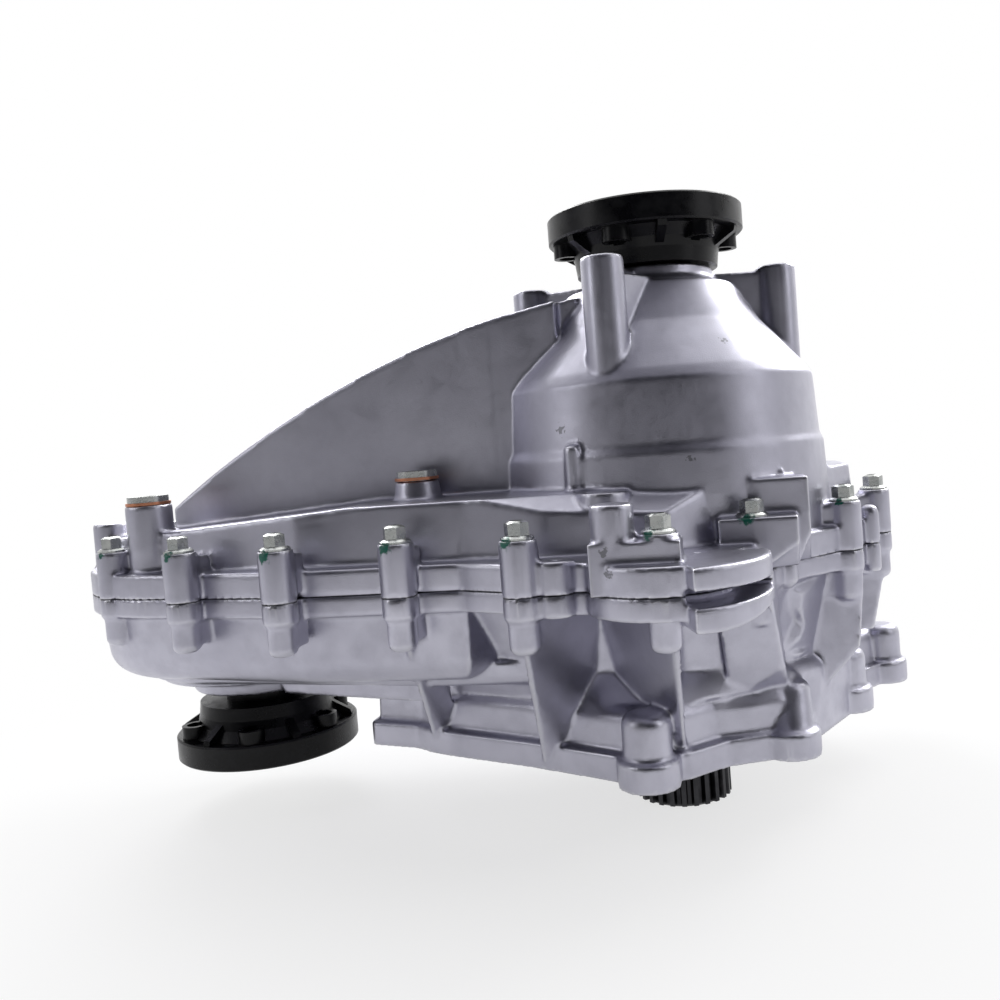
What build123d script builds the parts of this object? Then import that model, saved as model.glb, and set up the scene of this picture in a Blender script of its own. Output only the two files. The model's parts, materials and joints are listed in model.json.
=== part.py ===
from build123d import *
import os
from math import acos, atan2, cos, degrees, hypot, pi, radians, sin, tan

# A full-time transfer case. The main axis is X = Y = 0, with the gearbox face at Z = 0 and the rear output
# upward; the front output's axis lies on -X and its flange points down. Millimetres throughout.

os.makedirs("parts", exist_ok=True)

# Chain drive, which sets the distance between the two axes
CHAIN_PITCH = 9.525
SPROCKET_TEETH = 37
CHAIN_LINKS = 94
CHAIN_WIDTH = 26.0
CHAIN_Z = 93.0
PITCH_R = SPROCKET_TEETH * CHAIN_PITCH / (2 * pi)
AXIS_SPAN = (CHAIN_LINKS - SPROCKET_TEETH) / 2 * CHAIN_PITCH
FRONT = (-AXIS_SPAN, 0.0)
MAIN = (0.0, 0.0)
LINK_PLATE_H = 3.4
LINK_TOE = 5.0
TOOTH_GAP = 0.7
PIN_R = 1.6
DRIVEN_BORE_R = 21.0
FLANK_SLOPE = 0.54
CROTCH_W = 0.9
CROTCH_DEPTH = 0.9
TOOTH_TIP = 1.7
TOOTH_ROOT = LINK_TOE + 0.6
TOOTH_TIP_W = CROTCH_W + FLANK_SLOPE * (TOOTH_TIP - CROTCH_DEPTH) - TOOTH_GAP
TOOTH_ROOT_W = CROTCH_W + FLANK_SLOPE * (TOOTH_ROOT - CROTCH_DEPTH) - TOOTH_GAP
SPROCKET_LOW = CHAIN_Z - CHAIN_WIDTH / 2
SPROCKET_HIGH = CHAIN_Z + CHAIN_WIDTH / 2
PACK_INSET = 1.0
PACK_Z = SPROCKET_LOW + PACK_INSET
PACK_HIGH = SPROCKET_HIGH - PACK_INSET

# Heights of the two castings above the gearbox face
GEARBOX_FLANGE_T = 14.0
PARTING_Z = 102.0
CASE_FLANGE_T = 11.0
COVER_FLANGE_T = 14.0
BOLT_SEAT_Z = 129.0
LOWER_BOSS_Z = 74.0
DECK_Z = 147.0
DECK_DROP = 8.0
DECK_BREAK_X = -160.0
BELLY_Z = 51.0
FLOOR_LOW_Z = 56.0
FLOOR_HIGH_Z = 67.0
BELLY_STEP_Z = 45.0
PAD_Z = 30.0
SKIRT_Z = 36.0
CASE_FLANGE_Z = PARTING_Z - CASE_FLANGE_T
COVER_FLANGE_Z = PARTING_Z + COVER_FLANGE_T

# Walls, drafts and clearances
WALL = 7.0
SKIRT_INSET = 4.0
COVER_DRAFT = 4.0
CASE_DRAFT = 4.0
BELLY_INSET = 5.0
BELLY_FILLET = 16.0
STEP_FILLET = 8.0
PRESS_GAP = 0.02
RUNNING = 0.05

# Parting flange and its bolts
END_R = 98.0
WALL_INSET = 10.0
BOSS_R = 9.3
COLUMN_FOOT_R = 7.6
BOLT_R = 4.0
BOLT_HOLE_R = 4.5
BOLT_AF = 10.4
BOLT_HEAD_H = 9.0
BOLT_FLANGE_R = 8.0
BOLT_FLANGE_H = 2.0
BOLT_REACH = 20.0
SPOT_FACE_R = BOLT_FLANGE_R + 1.0
SPOT_FACE_H = 16.0
BOLT_HOLE_END = 2.0
BOLT_CHAMFER = 1.2
BOLT_DISH_R = 3.2

# Rear cylinder, cone and neck of the cover
DRUM_R = 92.0
DRUM_FOOT_R = 96.0
DRUM_TOP_Z = 205.0
CONE_MID_R = 64.0
CONE_MID_Z = 235.0
CONE_TOP_R = 49.0
CONE_TOP_Z = 258.0
NECK_R = 38.0

# Bearings and seals, each with its lowest height
INPUT_BEARING = dict(bore=30.0, outer=54.0, width=20.0, z=38.0)
REAR_BEARING = dict(bore=27.5, outer=50.0, width=21.0, z=219.0)
LOWER_BEARING = dict(bore=22.5, outer=42.5, width=19.0, z=50.0)
UPPER_BEARING = dict(bore=17.5, outer=34.0, width=15.0, z=114.0)
ROLLERS = 12
ROLLER_SHARE = 0.42
INPUT_SEAL = dict(lip=30.0, outer=42.0, width=9.0, z=26.0)
REAR_SEAL = dict(lip=24.0, outer=32.0, width=9.0, z=258.0)
FRONT_SEAL = dict(lip=25.0, outer=36.0, width=9.0, z=34.0)
SHOULDER = 5.0
RACE_LIP = 2.5
SNAP_W = 5.0
SNAP_T = 2.0
SNAP_BITE = 1.5
SNAP_GAP = 8.0
INPUT_SNAP_Z = INPUT_BEARING["z"] + INPUT_BEARING["width"] + RUNNING
FRONT_SNAP_Z = LOWER_BEARING["z"] + LOWER_BEARING["width"] + RUNNING
REAR_SNAP_Z = REAR_BEARING["z"] - SNAP_T - RUNNING
FRONT_HUB_TOP = LOWER_BEARING["z"] + LOWER_BEARING["width"] + 5

# Input spline
SPLINE_TEETH = 25
SPLINE_R = 28.6
SPLINE_DEPTH = 3.2
SPLINE_LENGTH = 40.0
SPLINE_END_Z = -46.0
INPUT_BORE_R = 12.0
SPLINE_ROOT_SHARE = 0.34
SPLINE_TIP_SHARE = 0.19

# Centre differential
GEAR_MODULE = 2.5
SUN_TEETH = 32
PLANET_TEETH = 12
RING_TEETH = SUN_TEETH + 2 * PLANET_TEETH
PLANETS = 4
GEAR_Z = 152.0
GEAR_WIDTH = 24.0
PRESSURE_ANGLE = 20.0
BACKLASH = 0.3
CARRIER_T = 7.0
CARRIER_GAP = 0.5
RING_R = 81.0
PLANET_PIN_R = 5.0
INPUT_R = 25.0
SLEEVE_T = 3.0
TUBE_T = 5.0
SUN_R = GEAR_MODULE * SUN_TEETH / 2
PLANET_GEAR_R = GEAR_MODULE * PLANET_TEETH / 2
RING_PITCH_R = GEAR_MODULE * RING_TEETH / 2
CARRIER_R = SUN_R + PLANET_GEAR_R
ADDENDUM = 0.85 * GEAR_MODULE
DEDENDUM = 1.15 * GEAR_MODULE
SLEEVE_BORE = INPUT_R + RUNNING
TUBE_BORE = INPUT_R + SLEEVE_T + 2 * RUNNING
TUBE_R = TUBE_BORE + TUBE_T
CARRIER_LOW = GEAR_Z - CARRIER_GAP - CARRIER_T
CARRIER_HIGH = GEAR_Z + GEAR_WIDTH + CARRIER_GAP
CARRIER_PLATE_R = CARRIER_R + 12.0
HUB_STEP = 3.0
PILLAR_DEPTH = 14.0
PILLAR_WIDTH = 26.0
DRUM_WEB_Z = CARRIER_HIGH + CARRIER_T + 2.0
OUTPUT_HUB_R = 32.0

# Companion flanges
FLANGE_R = 57.5
FLANGE_T = 15.0
FLANGE_HUB_R = 41.5
FLANGE_ROOT_R = 46.0
FLANGE_HUB_H = 19.5
FLANGE_BOLT_R = 47.0
FLANGE_BOLTS = 6
FLANGE_HOLE_R = 5.1
FLANGE_BOSS_R = 8.0
FLANGE_BOSS_H = 8.0
PILOT_R = 34.0
PILOT_DEPTH = 10.0
REAR_FACE_Z = 304.0
FRONT_FACE_Z = -11.8
STUB_R = 15.0
NUT_H = 9.0
NUT_AF = 46.0
FLANGE_BORE_R = 18.0
FLANGE_RIB_T = 5.0
FLANGE_BOLT_TURN = 15.0
HUB_GAP = 1.0
NECK_TOP_Z = REAR_FACE_Z - FLANGE_T - FLANGE_HUB_H - HUB_GAP

# Bolt places on the parting flange, near side from the left end, then far side back to the left
NEAR_BOLTS = [
    (-318, -80),
    (-256, -110),
    (-190, -128),
    (-126, -125),
    (-59, -142),
    (8, -147),
    (50.5, -93),
    (101, -31),
    (127, 44),
]
FAR_BOLTS = [
    (108, 100),
    (58, 134),
    (-10, 143),
    (-84, 135),
    (-158, 127),
    (-232, 116),
    (-318, 80),
    (-356, 42),
]
BOLTS = NEAR_BOLTS + FAR_BOLTS
DOWELS = [(-330, 59), (66, -70)]
DOWEL_R = 4.0
DOWEL_LENGTH = 16.0

# Square-cornered blocks of the cover, each as lowest and highest X, Y and Z
COVER_BLOCKS = [
    (-24, 18, -156, -134, PARTING_Z, 126),
    (33.5, 72.5, -102, -70, PARTING_Z, BOLT_SEAT_Z),
    (51, 79.5, -83, -63, PARTING_Z, 147),
    (52, 68.5, -70, -62, 140, 150.5),
    (84, 108, -38, -22, COVER_FLANGE_Z, 128),
]
TALL_BOSS = (-13.0, -146.0)
TALL_BOSS_R = 10.3
TALL_BOSS_TOP = 143.5
END_POST = (-350.0, -34.0)
END_POST_R = 11.0
EDGE_POST = (117.0, -8.0)
EDGE_POST_R = 5.4
EDGE_POST_TOP = 124.0
DIMPLE_PAD = (-43.0, -138.0)
DIMPLE_PAD_R = 9.5
DIMPLE_PAD_TOP = 118.0
DIMPLE_R = 2.0
DECK_PAD = (-22.5, -100.0)
DECK_PAD_R = 13.0
DECK_PAD_TOP = 146.5
FOOT_RIB = (-39.0, -87.0)
FOOT_RIB_R = 4.5
FOOT_RIB_TOP = 171.0

# Plugs, their bosses and the magnet
FILL_BOSS = (-293.6, -77.0)
FILL_BOSS_TOP = 155.0
LEVEL_BOSS = (-133.0, -63.0)
LEVEL_BOSS_TOP = 158.0
PLUG_R = 9.0
PLUG_LENGTH = 12.0
PLUG_HEAD_R = 11.5
PLUG_HEAD_H = 3.5
PLUG_KEY_AF = 10.0
PLUG_KEY_DEPTH = 6.0
WASHER_T = 1.6
MAGNET_R = 10.0
MAGNET_T = 5.0
MAGNET_PLACE = (-185.0, 0.0)

# Arc plates between two bolts of the near side, with a crescent slot between them
ARC_CENTRE = (8.0, -128.0)
ARC_R = 50.0
ARC_POCKET_R = 34.0
ARC_FROM = -72.0
ARC_TO = 14.0
ARC_HOLE = (24.0, -121.0)
SLOT_H = 7.0
SLOT_TO = 3.0

# Blocks that tie the bolt columns to the wall
BLOCK_WIDTH = 13.0
BLOCK_REACH = 16.0
BLOCK_DROP = 3.0

# Upright web between the deck and the cone
FIN_Y = -38.0
FIN_T = 6.0
FIN_ROOT_T = 11.0
FIN_ROOT_X = -122.0
FIN_LEFT = (-301.0, 150.0)
FIN_MID = (-170.0, 220.5)
FIN_RIGHT = (-38.0, 254.0)

# Lugs of the gearbox flange, each with a blind threaded hole
FRONT_LUG = (-8, -112)
SIDE_LUG = (63, -66)
LUGS = [
    FRONT_LUG,
    SIDE_LUG,
    (100, 15),
    (130, 80),
    (108, 126),
    (-FRONT_LUG[0], -FRONT_LUG[1]),
    (-SIDE_LUG[0], -SIDE_LUG[1]),
    (-165, 30),
    (-165, -30),
]
LUG_R = 16.0
LUG_BULGE_R = 12.5
LUG_BULGE_TOP = 37.0
LUG_HOLE_R = 4.25
LUG_HOLE_DEPTH = 22.0

# Vertical bosses on the cone, with a blind threaded hole in each top
CONE_BOSSES = [(-17.6, -75), (75, 17), (-75, 17), (-17.6, 75)]
CONE_BOSS_R = 11.5
CONE_BOSS_TOP_Z = 268.5
CONE_HOLE_R = 4.25
CONE_HOLE_DEPTH = 24.0
CONE_WEB_T = 8.0
CONE_WEB_DROP = 14.0

# Plan outlines
PARTING_POINTS = [
    (FRONT[0] - 14, -97),
    (-190, -117),
    (-97, -117),
    (-58, -136),
    (22, -146),
    (46, -112),
    (70, -74),
    (110, -24),
    (127, 30),
    (124, 84),
    (90, 120),
    (20, 134),
    (-60, 126),
    (-190, 115),
    (FRONT[0] - 14, 97),
]
PARTING_FILLET = 14.0
GEARBOX_POINTS = [
    (-181, -16),
    (-182, -44),
    (-150, -52),
    (-139, -60),
    (-124, -67),
    (-75, -86),
    (-32, -106),
    (-12, -116),
    (12, -106),
    (31, -88),
    (60, -76),
    (76, -56),
    (84, -26),
    (108, 12),
    (116, 50),
    (136, 76),
    (130, 114),
    (102, 132),
    (60, 124),
    (10, 118),
    (-40, 104),
    (-80, 84),
    (-125, 63),
    (-133, 46),
    (-150, 50),
    (-182, 44),
    (-181, 16),
]
GEARBOX_FILLET = 6.0
BELLY_POINTS = [
    (FRONT[0] - 14, -91),
    (-190, -110),
    (-96, -110),
    (-84, -90),
    (-84, 90),
    (-96, 110),
    (-190, 108),
    (FRONT[0] - 14, 91),
]
DECK_POINTS = [
    (FRONT[0] - 12, -87),
    (-190, -107),
    (-97, -108),
    (-52, -116),
    (10, -113),
    (41, -83),
    (74, -58),
    (91, -20),
    (115, 30),
    (113, 80),
    (84, 112),
    (18, 124),
    (-60, 116),
    (-190, 105),
    (FRONT[0] - 12, 87),
]
DECK_FILLET = 12.0
BELL_LOW = [
    (-125, -52),
    (-72, -72),
    (-32, -82),
    (12, -79),
    (58, -64),
    (78, -24),
    (100, 30),
    (122, 80),
    (100, 118),
    (24, 104),
    (-70, 72),
    (-125, 50),
]
BELL_HIGH = [
    (-110, -104),
    (-68, -112),
    (-31, -88),
    (12, -100),
    (54, -92),
    (96, -24),
    (114, 32),
    (112, 82),
    (84, 112),
    (16, 124),
    (-62, 116),
    (-110, 106),
]
BELL_TOP_Z = CASE_FLANGE_Z + 1
BELL_FOOT_Z = 26.0
ROOF_POINTS = [
    (-117, -56),
    (-76, -75),
    (-33, -97),
    (5, -100),
    (59, -68),
    (76, -34),
    (94, 14),
    (116, 76),
    (98, 114),
    (16, 106),
    (-62, 84),
    (-117, 52),
]
ROOF_Z = 50.0
SHOULDER_POINTS = [
    (54, -70),
    (68, -64),
    (84, -34),
    (103, 4),
    (104, 24),
    (84, 44),
    (40, 0),
    (40, -50),
]
SHOULDER_Z = 45.0
SHOULDER_FILLET = 9.0
LOBE_POINTS = [(-174, -40), (-150, -46), (-122, -60), (-122, 56), (-150, 46), (-174, 40)]
LOBE_Z = 28.0
WEDGE_LOW = [(33, -78), (64, -75), (64, -60), (33, -60)]
WEDGE_LOW_Z = 36.0
WEDGE_HIGH = [(30, -113), (57, -104), (60, -82), (30, -82)]
WELL_R = 64.0
WELL_POINTS = [
    (FRONT[0], -WELL_R),
    (-150, -74),
    (-128, -74),
    (-128, 74),
    (-150, 74),
    (FRONT[0], WELL_R),
]
STEP_R = 72.0
STEP_POINTS = [
    (FRONT[0], -STEP_R),
    (-120, -92),
    (-60, -92),
    (-60, 92),
    (-120, 92),
    (FRONT[0], STEP_R),
]
PAD_POINTS = [
    (FRONT[0] + 30, -36),
    (-150, -60),
    (-90, -60),
    (-90, 60),
    (-150, 60),
    (FRONT[0] + 30, 36),
]

# Upright webs under the parting flange: the top's outer and inner end, the foot's, and the foot's height
WEBS = [
    ((-126, -131), (-117, -94), (-137, -58), (-126, -50), 6),
    ((-60, -148), (-31, -86), (-66, -91), (-40, -76), 4),
    ((13, -152), (-31, -86), (10, -98), (-20, -76), 8),
    ((109, -33), (70, -28), (105, -33), (70, -28), 26),
    ((133, 40), (95, 40), (122, 40), (95, 40), 42),
    ((62, 142), (54, 100), (52, 120), (46, 98), 8),
    ((-10, 148), (-14, 100), (-14, 118), (-14, 95), 8),
    ((-84, 140), (-86, 95), (-88, 98), (-86, 78), 8),
]
WEB_T = 4.0

# Slope at the front of the deck, below a fold between two points of its top
DECK_FOLD = [(-97, -108), (20, -88)]
DECK_FRONT_SLOPE = 31.0


def at(place, z=0.0):
    return Pos(place[0], place[1], z)


def disc(radius, z_low, z_high, place=MAIN):
    """A plain cylinder between two heights."""
    return at(place, z_low) * extrude(Circle(radius), z_high - z_low)


def ring(r_in, r_out, z_low, z_high, place=MAIN):
    """A plain ring between two heights."""
    return at(place, z_low) * extrude(Circle(r_out) - Circle(r_in), z_high - z_low)


def turned(points, place=MAIN):
    """A revolved solid from (radius, height) points in order."""
    profile = make_face(Plane.XZ * Polyline(*points, close=True))
    return at(place) * revolve(profile, Axis.Z)


def outline(points, radius):
    """A closed plan outline with rounded corners."""
    face = make_face(Polyline(*points, close=True))
    return fillet(face.vertices(), radius)


def grow(face, amount):
    """A plan face moved outward, or inward by a negative amount."""
    return offset(face, amount, kind=Kind.ARC)


def prism(face, z_low, z_high, taper=0.0):
    """A plan face raised between two heights, narrowing upward by the taper in degrees."""
    return Pos(0, 0, z_low) * extrude(face, z_high - z_low, taper=taper)


def bowl(face, z_low, z_high, taper=0.0):
    """A plan face lowered between two heights, narrowing downward by the taper in degrees."""
    return Pos(0, 0, z_high) * extrude(face, z_high - z_low, dir=(0, 0, -1), taper=taper)


def around(place, radius, count, start=0.0):
    """Evenly spaced places on a circle, each with its direction in degrees."""
    spots = []
    for index in range(count):
        angle = start + 360 * index / count
        x = place[0] + radius * cos(radians(angle))
        y = place[1] + radius * sin(radians(angle))
        spots.append(((x, y), angle))
    return spots


# Plan faces of the castings
def plain_parting():
    face = make_face(Polyline(*PARTING_POINTS, close=True))
    corners = face.vertices().filter_by(lambda corner: corner.X > FRONT[0] + 1)
    return fillet(corners, PARTING_FILLET) + at(FRONT) * Circle(END_R)


def parting_face():
    face = plain_parting()
    for place in BOLTS:
        face += at(place) * Circle(BOSS_R)
    face += at(DIMPLE_PAD) * Circle(DIMPLE_PAD_R)
    face += at(TALL_BOSS) * Circle(TALL_BOSS_R)
    face += at(TALL_BOSS) * Pos(BOSS_R, 1) * Rectangle(2 * BOSS_R, 2 * TALL_BOSS_R - 1)
    face += at(ARC_CENTRE) * Circle(ARC_R - 12)
    return face


def belly_face():
    face = make_face(Polyline(*BELLY_POINTS, close=True))
    return face + at(FRONT) * Circle(END_R - BELLY_INSET)


def deck_face():
    face = make_face(Polyline(*DECK_POINTS, close=True))
    corners = face.vertices().filter_by(lambda corner: corner.X > FRONT[0] + 1)
    return fillet(corners, DECK_FILLET) + at(FRONT) * Circle(END_R - WALL_INSET)


def bell_face(height, inset):
    """The bell's plan section at a height, moved inward by a wall."""
    share = (height - BELL_FOOT_Z) / (BELL_TOP_Z - BELL_FOOT_Z)
    points = []
    for low, high in zip(BELL_LOW, BELL_HIGH):
        points.append((low[0] + share * (high[0] - low[0]), low[1] + share * (high[1] - low[1])))
    face = make_face(Polyline(*points, close=True))
    if inset:
        face = offset(face, -inset, kind=Kind.INTERSECTION)
    return Pos(0, 0, height) * face


def gearbox_face():
    face = outline(GEARBOX_POINTS, GEARBOX_FILLET)
    for place in LUGS:
        face += at(place) * Circle(LUG_R)
    return face


def skirt_face():
    face = outline(GEARBOX_POINTS, GEARBOX_FILLET)
    return grow(face, -SKIRT_INSET)


# Cover casting
def above_deck(drop):
    """Everything above the sloping deck, lowered by a drop for the inside."""
    far_x = FRONT[0] - 2 * END_R
    slope = DECK_DROP / (DECK_BREAK_X - FRONT[0])
    far_z = DECK_Z - slope * (DECK_BREAK_X - far_x)
    high_z = DECK_Z + 3 * WALL
    points = [
        (DECK_BREAK_X, DECK_Z - drop),
        (far_x, far_z - drop),
        (far_x, high_z),
        (DECK_BREAK_X, high_z),
    ]
    face = make_face(Plane.XZ * Polyline(*points, close=True))
    return extrude(face, 2 * END_R, both=True)


def cover_deck():
    """The low part of the cover over the chain, with its bolting flange."""
    wall = prism(deck_face(), PARTING_Z, DECK_Z, COVER_DRAFT) - above_deck(0) - deck_front(0)
    return prism(parting_face(), PARTING_Z, COVER_FLANGE_Z) + wall


def cover_drum():
    """Cylinder, cone and neck round the rear output."""
    return turned(
        [
            (0, COVER_FLANGE_Z),
            (DRUM_FOOT_R, COVER_FLANGE_Z),
            (DRUM_FOOT_R, DECK_Z - 6),
            (DRUM_FOOT_R - 1, 164),
            (DRUM_R + 1, 168),
            (DRUM_R - 1, DRUM_TOP_Z - 3),
            (DRUM_R - 5, DRUM_TOP_Z + 3),
            (CONE_MID_R, CONE_MID_Z),
            (CONE_TOP_R, CONE_TOP_Z),
            (NECK_R + 3, CONE_TOP_Z + 2),
            (NECK_R, CONE_TOP_Z + 5),
            (NECK_R, NECK_TOP_Z),
            (0, NECK_TOP_Z),
        ]
    )


def cover_fin():
    """The thin upright web between the deck and the cone, thicker where it meets the cylinder."""
    foot_z = DECK_Z - DECK_DROP - 4
    arc = ThreePointArc(FIN_LEFT, FIN_MID, FIN_RIGHT)
    rest = Polyline(FIN_RIGHT, (FIN_RIGHT[0], foot_z), (FIN_LEFT[0], foot_z), FIN_LEFT)
    face = make_face(Plane.XZ * (arc + rest))
    thin = Pos(0, FIN_Y - FIN_T / 2, 0) * extrude(face, FIN_T, dir=(0, 1, 0))
    thick = Pos(0, FIN_Y - FIN_ROOT_T, 0) * extrude(face, FIN_ROOT_T, dir=(0, 1, 0))
    root = [
        (FIN_ROOT_X, FIN_Y),
        (FIN_ROOT_X, FIN_Y - FIN_T / 2),
        (-DRUM_R + FIN_ROOT_T, FIN_Y - FIN_ROOT_T),
        (-CONE_TOP_R, FIN_Y - FIN_ROOT_T),
        (-CONE_TOP_R, FIN_Y),
    ]
    return thin + (thick & prism(make_face(Polyline(*root, close=True)), foot_z, FIN_RIGHT[1]))


def toward_wall(place):
    """Direction in degrees from a bolt to the line between the two axes."""
    middle_x = min(0.0, max(FRONT[0], place[0] * 0.9))
    return degrees(atan2(-place[1], middle_x - place[0]))


def boss_column(place, radius, z_low, z_high, drop):
    """A bolt column tied back to the wall by a block that stops short of its ends."""
    middle = (z_low + z_high) / 2
    height = z_high - z_low - 2 * drop
    block = Pos(BLOCK_REACH / 2, 0, 0) * Box(BLOCK_REACH, BLOCK_WIDTH, height)
    return disc(radius, z_low, z_high, place) + at(place, middle) * Rot(0, 0, toward_wall(place)) * block


def cone_boss(place):
    """A vertical column on the cone, tied to the neck by a web."""
    column = disc(CONE_BOSS_R, DRUM_TOP_Z, CONE_BOSS_TOP_Z, place)
    reach = hypot(*place)
    web = Pos(-reach / 2, 0, 0) * Box(reach, CONE_WEB_T, CONE_BOSS_TOP_Z - CONE_WEB_DROP - DRUM_TOP_Z)
    middle = (CONE_BOSS_TOP_Z - CONE_WEB_DROP + DRUM_TOP_Z) / 2
    turn = degrees(atan2(place[1], place[0]))
    return column + at(place, middle) * Rot(0, 0, turn) * web


def arc_sector(radius, z_low, z_high, last_angle=ARC_TO):
    """A sector of the arc plate between its two bolts."""
    reach = 2 * ARC_R
    first = (reach * cos(radians(ARC_FROM)), reach * sin(radians(ARC_FROM)))
    last = (reach * cos(radians(last_angle)), reach * sin(radians(last_angle)))
    wedge = make_face(Polyline((0, 0), first, (reach, reach * sin(radians(ARC_FROM))), last, close=True))
    return at(ARC_CENTRE, z_low) * extrude(Circle(radius) & wedge, z_high - z_low)


def arc_slot(z_low, z_high):
    """The crescent gap between the two arc plates."""
    return arc_sector(ARC_R + 1, z_low, z_high, SLOT_TO) - disc(ARC_POCKET_R, z_low, z_high, ARC_CENTRE)


def cover_blocks():
    """The square-cornered blocks of the near side, and their raised piece."""
    blocks = Part()
    for x_low, x_high, y_low, y_high, z_low, z_high in COVER_BLOCKS:
        plan = Pos((x_low + x_high) / 2, (y_low + y_high) / 2) * Rectangle(x_high - x_low, y_high - y_low)
        blocks += prism(plan, z_low, z_high)
    return blocks


def plug_bosses():
    """The tall boss of the filler plug, and the cone-shaped one of the level plug."""
    fill = disc(PLUG_R + 4, PARTING_Z, FILL_BOSS_TOP, FILL_BOSS)
    foot_z = DECK_Z - WALL - 2
    base = (Align.CENTER, Align.CENTER, Align.MIN)
    level = Cone(PLUG_R + 6, PLUG_R + 3, LEVEL_BOSS_TOP - foot_z, align=base)
    return fill + at(LEVEL_BOSS, foot_z) * level


def edge_post(z_low, z_high):
    """The post beside the parting flange, in one of the two castings."""
    return disc(EDGE_POST_R, z_low, z_high, EDGE_POST)


def cover_extras():
    """Bosses and pads of the near side."""
    body = disc(TALL_BOSS_R, PARTING_Z, TALL_BOSS_TOP, TALL_BOSS)
    body += disc(END_POST_R, PARTING_Z, TALL_BOSS_TOP, END_POST)
    body += disc(DIMPLE_PAD_R, PARTING_Z, DIMPLE_PAD_TOP, DIMPLE_PAD)
    body += disc(DECK_PAD_R, DECK_Z - 2 * WALL, DECK_PAD_TOP, DECK_PAD)
    rib = disc(FOOT_RIB_R, DECK_Z - WALL, FOOT_RIB_TOP, FOOT_RIB)
    body += fillet(rib.edges().group_by(Axis.Z)[-1], FOOT_RIB_R / 2)
    post = edge_post(PARTING_Z, EDGE_POST_TOP)
    body += fillet(post.edges().group_by(Axis.Z)[-1], EDGE_POST_R * 0.8)
    return body + cover_blocks() + plug_bosses()


def small_holes():
    """The dimple of the flange pad and the small hole in the arc plate."""
    dimple = disc(DIMPLE_R, DIMPLE_PAD_TOP - DIMPLE_R, DIMPLE_PAD_TOP + 1, DIMPLE_PAD)
    return dimple + disc(DIMPLE_R, PARTING_Z + SLOT_H / 2 - 1, COVER_FLANGE_Z + 1, ARC_HOLE)


def deck_front(drop):
    """Everything above the slope at the front of the deck, lowered by a drop for the inside."""
    along = Vector(DECK_FOLD[1][0] - DECK_FOLD[0][0], DECK_FOLD[1][1] - DECK_FOLD[0][1], 0).normalized()
    outward = Vector(along.Y, -along.X, 0)
    tilt = radians(DECK_FRONT_SLOPE)
    normal = outward * sin(tilt) + Vector(0, 0, cos(tilt))
    slope = Plane(origin=(*DECK_FOLD[0], DECK_Z - drop), x_dir=along, z_dir=normal)
    return slope * Pos(END_R, 0, WALL * 2) * Box(3 * END_R, 2 * END_R, WALL * 4)


def chain_space_cover():
    """Room over the chain, up to the underside of the deck."""
    face = grow(deck_face(), -WALL)
    room = prism(face, PARTING_Z - 1, DECK_Z - WALL, COVER_DRAFT) - above_deck(WALL)
    return room - deck_front(WALL + 1)


def drum_space():
    """Inside of the cylinder and cone, with the rear bearing's seat and the seal's bore."""
    bearing_low = REAR_BEARING["z"]
    bearing_high = bearing_low + REAR_BEARING["width"]
    inner_r = DRUM_R - WALL
    seat_r = REAR_BEARING["outer"] + PRESS_GAP
    seal_r = REAR_SEAL["outer"] + PRESS_GAP
    seal_low = REAR_SEAL["z"]
    return turned(
        [
            (0, PARTING_Z - 1),
            (inner_r, PARTING_Z - 1),
            (inner_r, DRUM_TOP_Z - 6),
            (seat_r + 4, bearing_low - 4),
            (seat_r, bearing_low - 4),
            (seat_r, bearing_high),
            (seat_r - SHOULDER, bearing_high),
            (seat_r - SHOULDER, bearing_high + 6),
            (seal_r - 3, seal_low - 1),
            (seal_r - 3, seal_low),
            (seal_r, seal_low),
            (seal_r, NECK_TOP_Z + 1),
            (0, NECK_TOP_Z + 1),
        ]
    )


def snap_groove(bearing, low, place=MAIN):
    """The groove in a bearing's seat for its snap ring."""
    return disc(bearing["outer"] + SNAP_BITE, low - RUNNING / 2, low + SNAP_T + RUNNING, place)


def upper_bearing_pocket():
    """The blind seat under the deck for the front output's upper bearing."""
    top = UPPER_BEARING["z"] + UPPER_BEARING["width"]
    seat = disc(UPPER_BEARING["outer"] + 6, UPPER_BEARING["z"], DECK_Z - DECK_DROP - 2, FRONT)
    seat -= disc(UPPER_BEARING["outer"] + PRESS_GAP, UPPER_BEARING["z"] - 1, top, FRONT)
    return seat - disc(UPPER_BEARING["outer"] - SHOULDER, top - 1, top + 3, FRONT)


def plug_holes():
    """Threaded holes for the two plugs, through into the chain space."""
    holes = disc(PLUG_R, DECK_Z - DECK_DROP - 3 * WALL, FILL_BOSS_TOP + 1, FILL_BOSS)
    return holes + disc(PLUG_R, DECK_Z - 2 * WALL, LEVEL_BOSS_TOP + 1, LEVEL_BOSS)


def bolt_holes_cover():
    """Clearance holes for the bolts, each with a spot face round its head."""
    holes = Part()
    for place in BOLTS:
        holes += disc(BOLT_HOLE_R, PARTING_Z - 1, BOLT_SEAT_Z + 1, place)
        holes += disc(SPOT_FACE_R, BOLT_SEAT_Z, BOLT_SEAT_Z + SPOT_FACE_H, place)
    return holes


def cone_holes():
    holes = Part()
    for place in CONE_BOSSES:
        holes += disc(CONE_HOLE_R, CONE_BOSS_TOP_Z - CONE_HOLE_DEPTH, CONE_BOSS_TOP_Z + 1, place)
    return holes


def dowel_holes():
    holes = Part()
    for place in DOWELS:
        low = PARTING_Z - DOWEL_LENGTH / 2 - 1
        holes += disc(DOWEL_R + PRESS_GAP, low, PARTING_Z + DOWEL_LENGTH / 2 + 1, place)
    return holes


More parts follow.
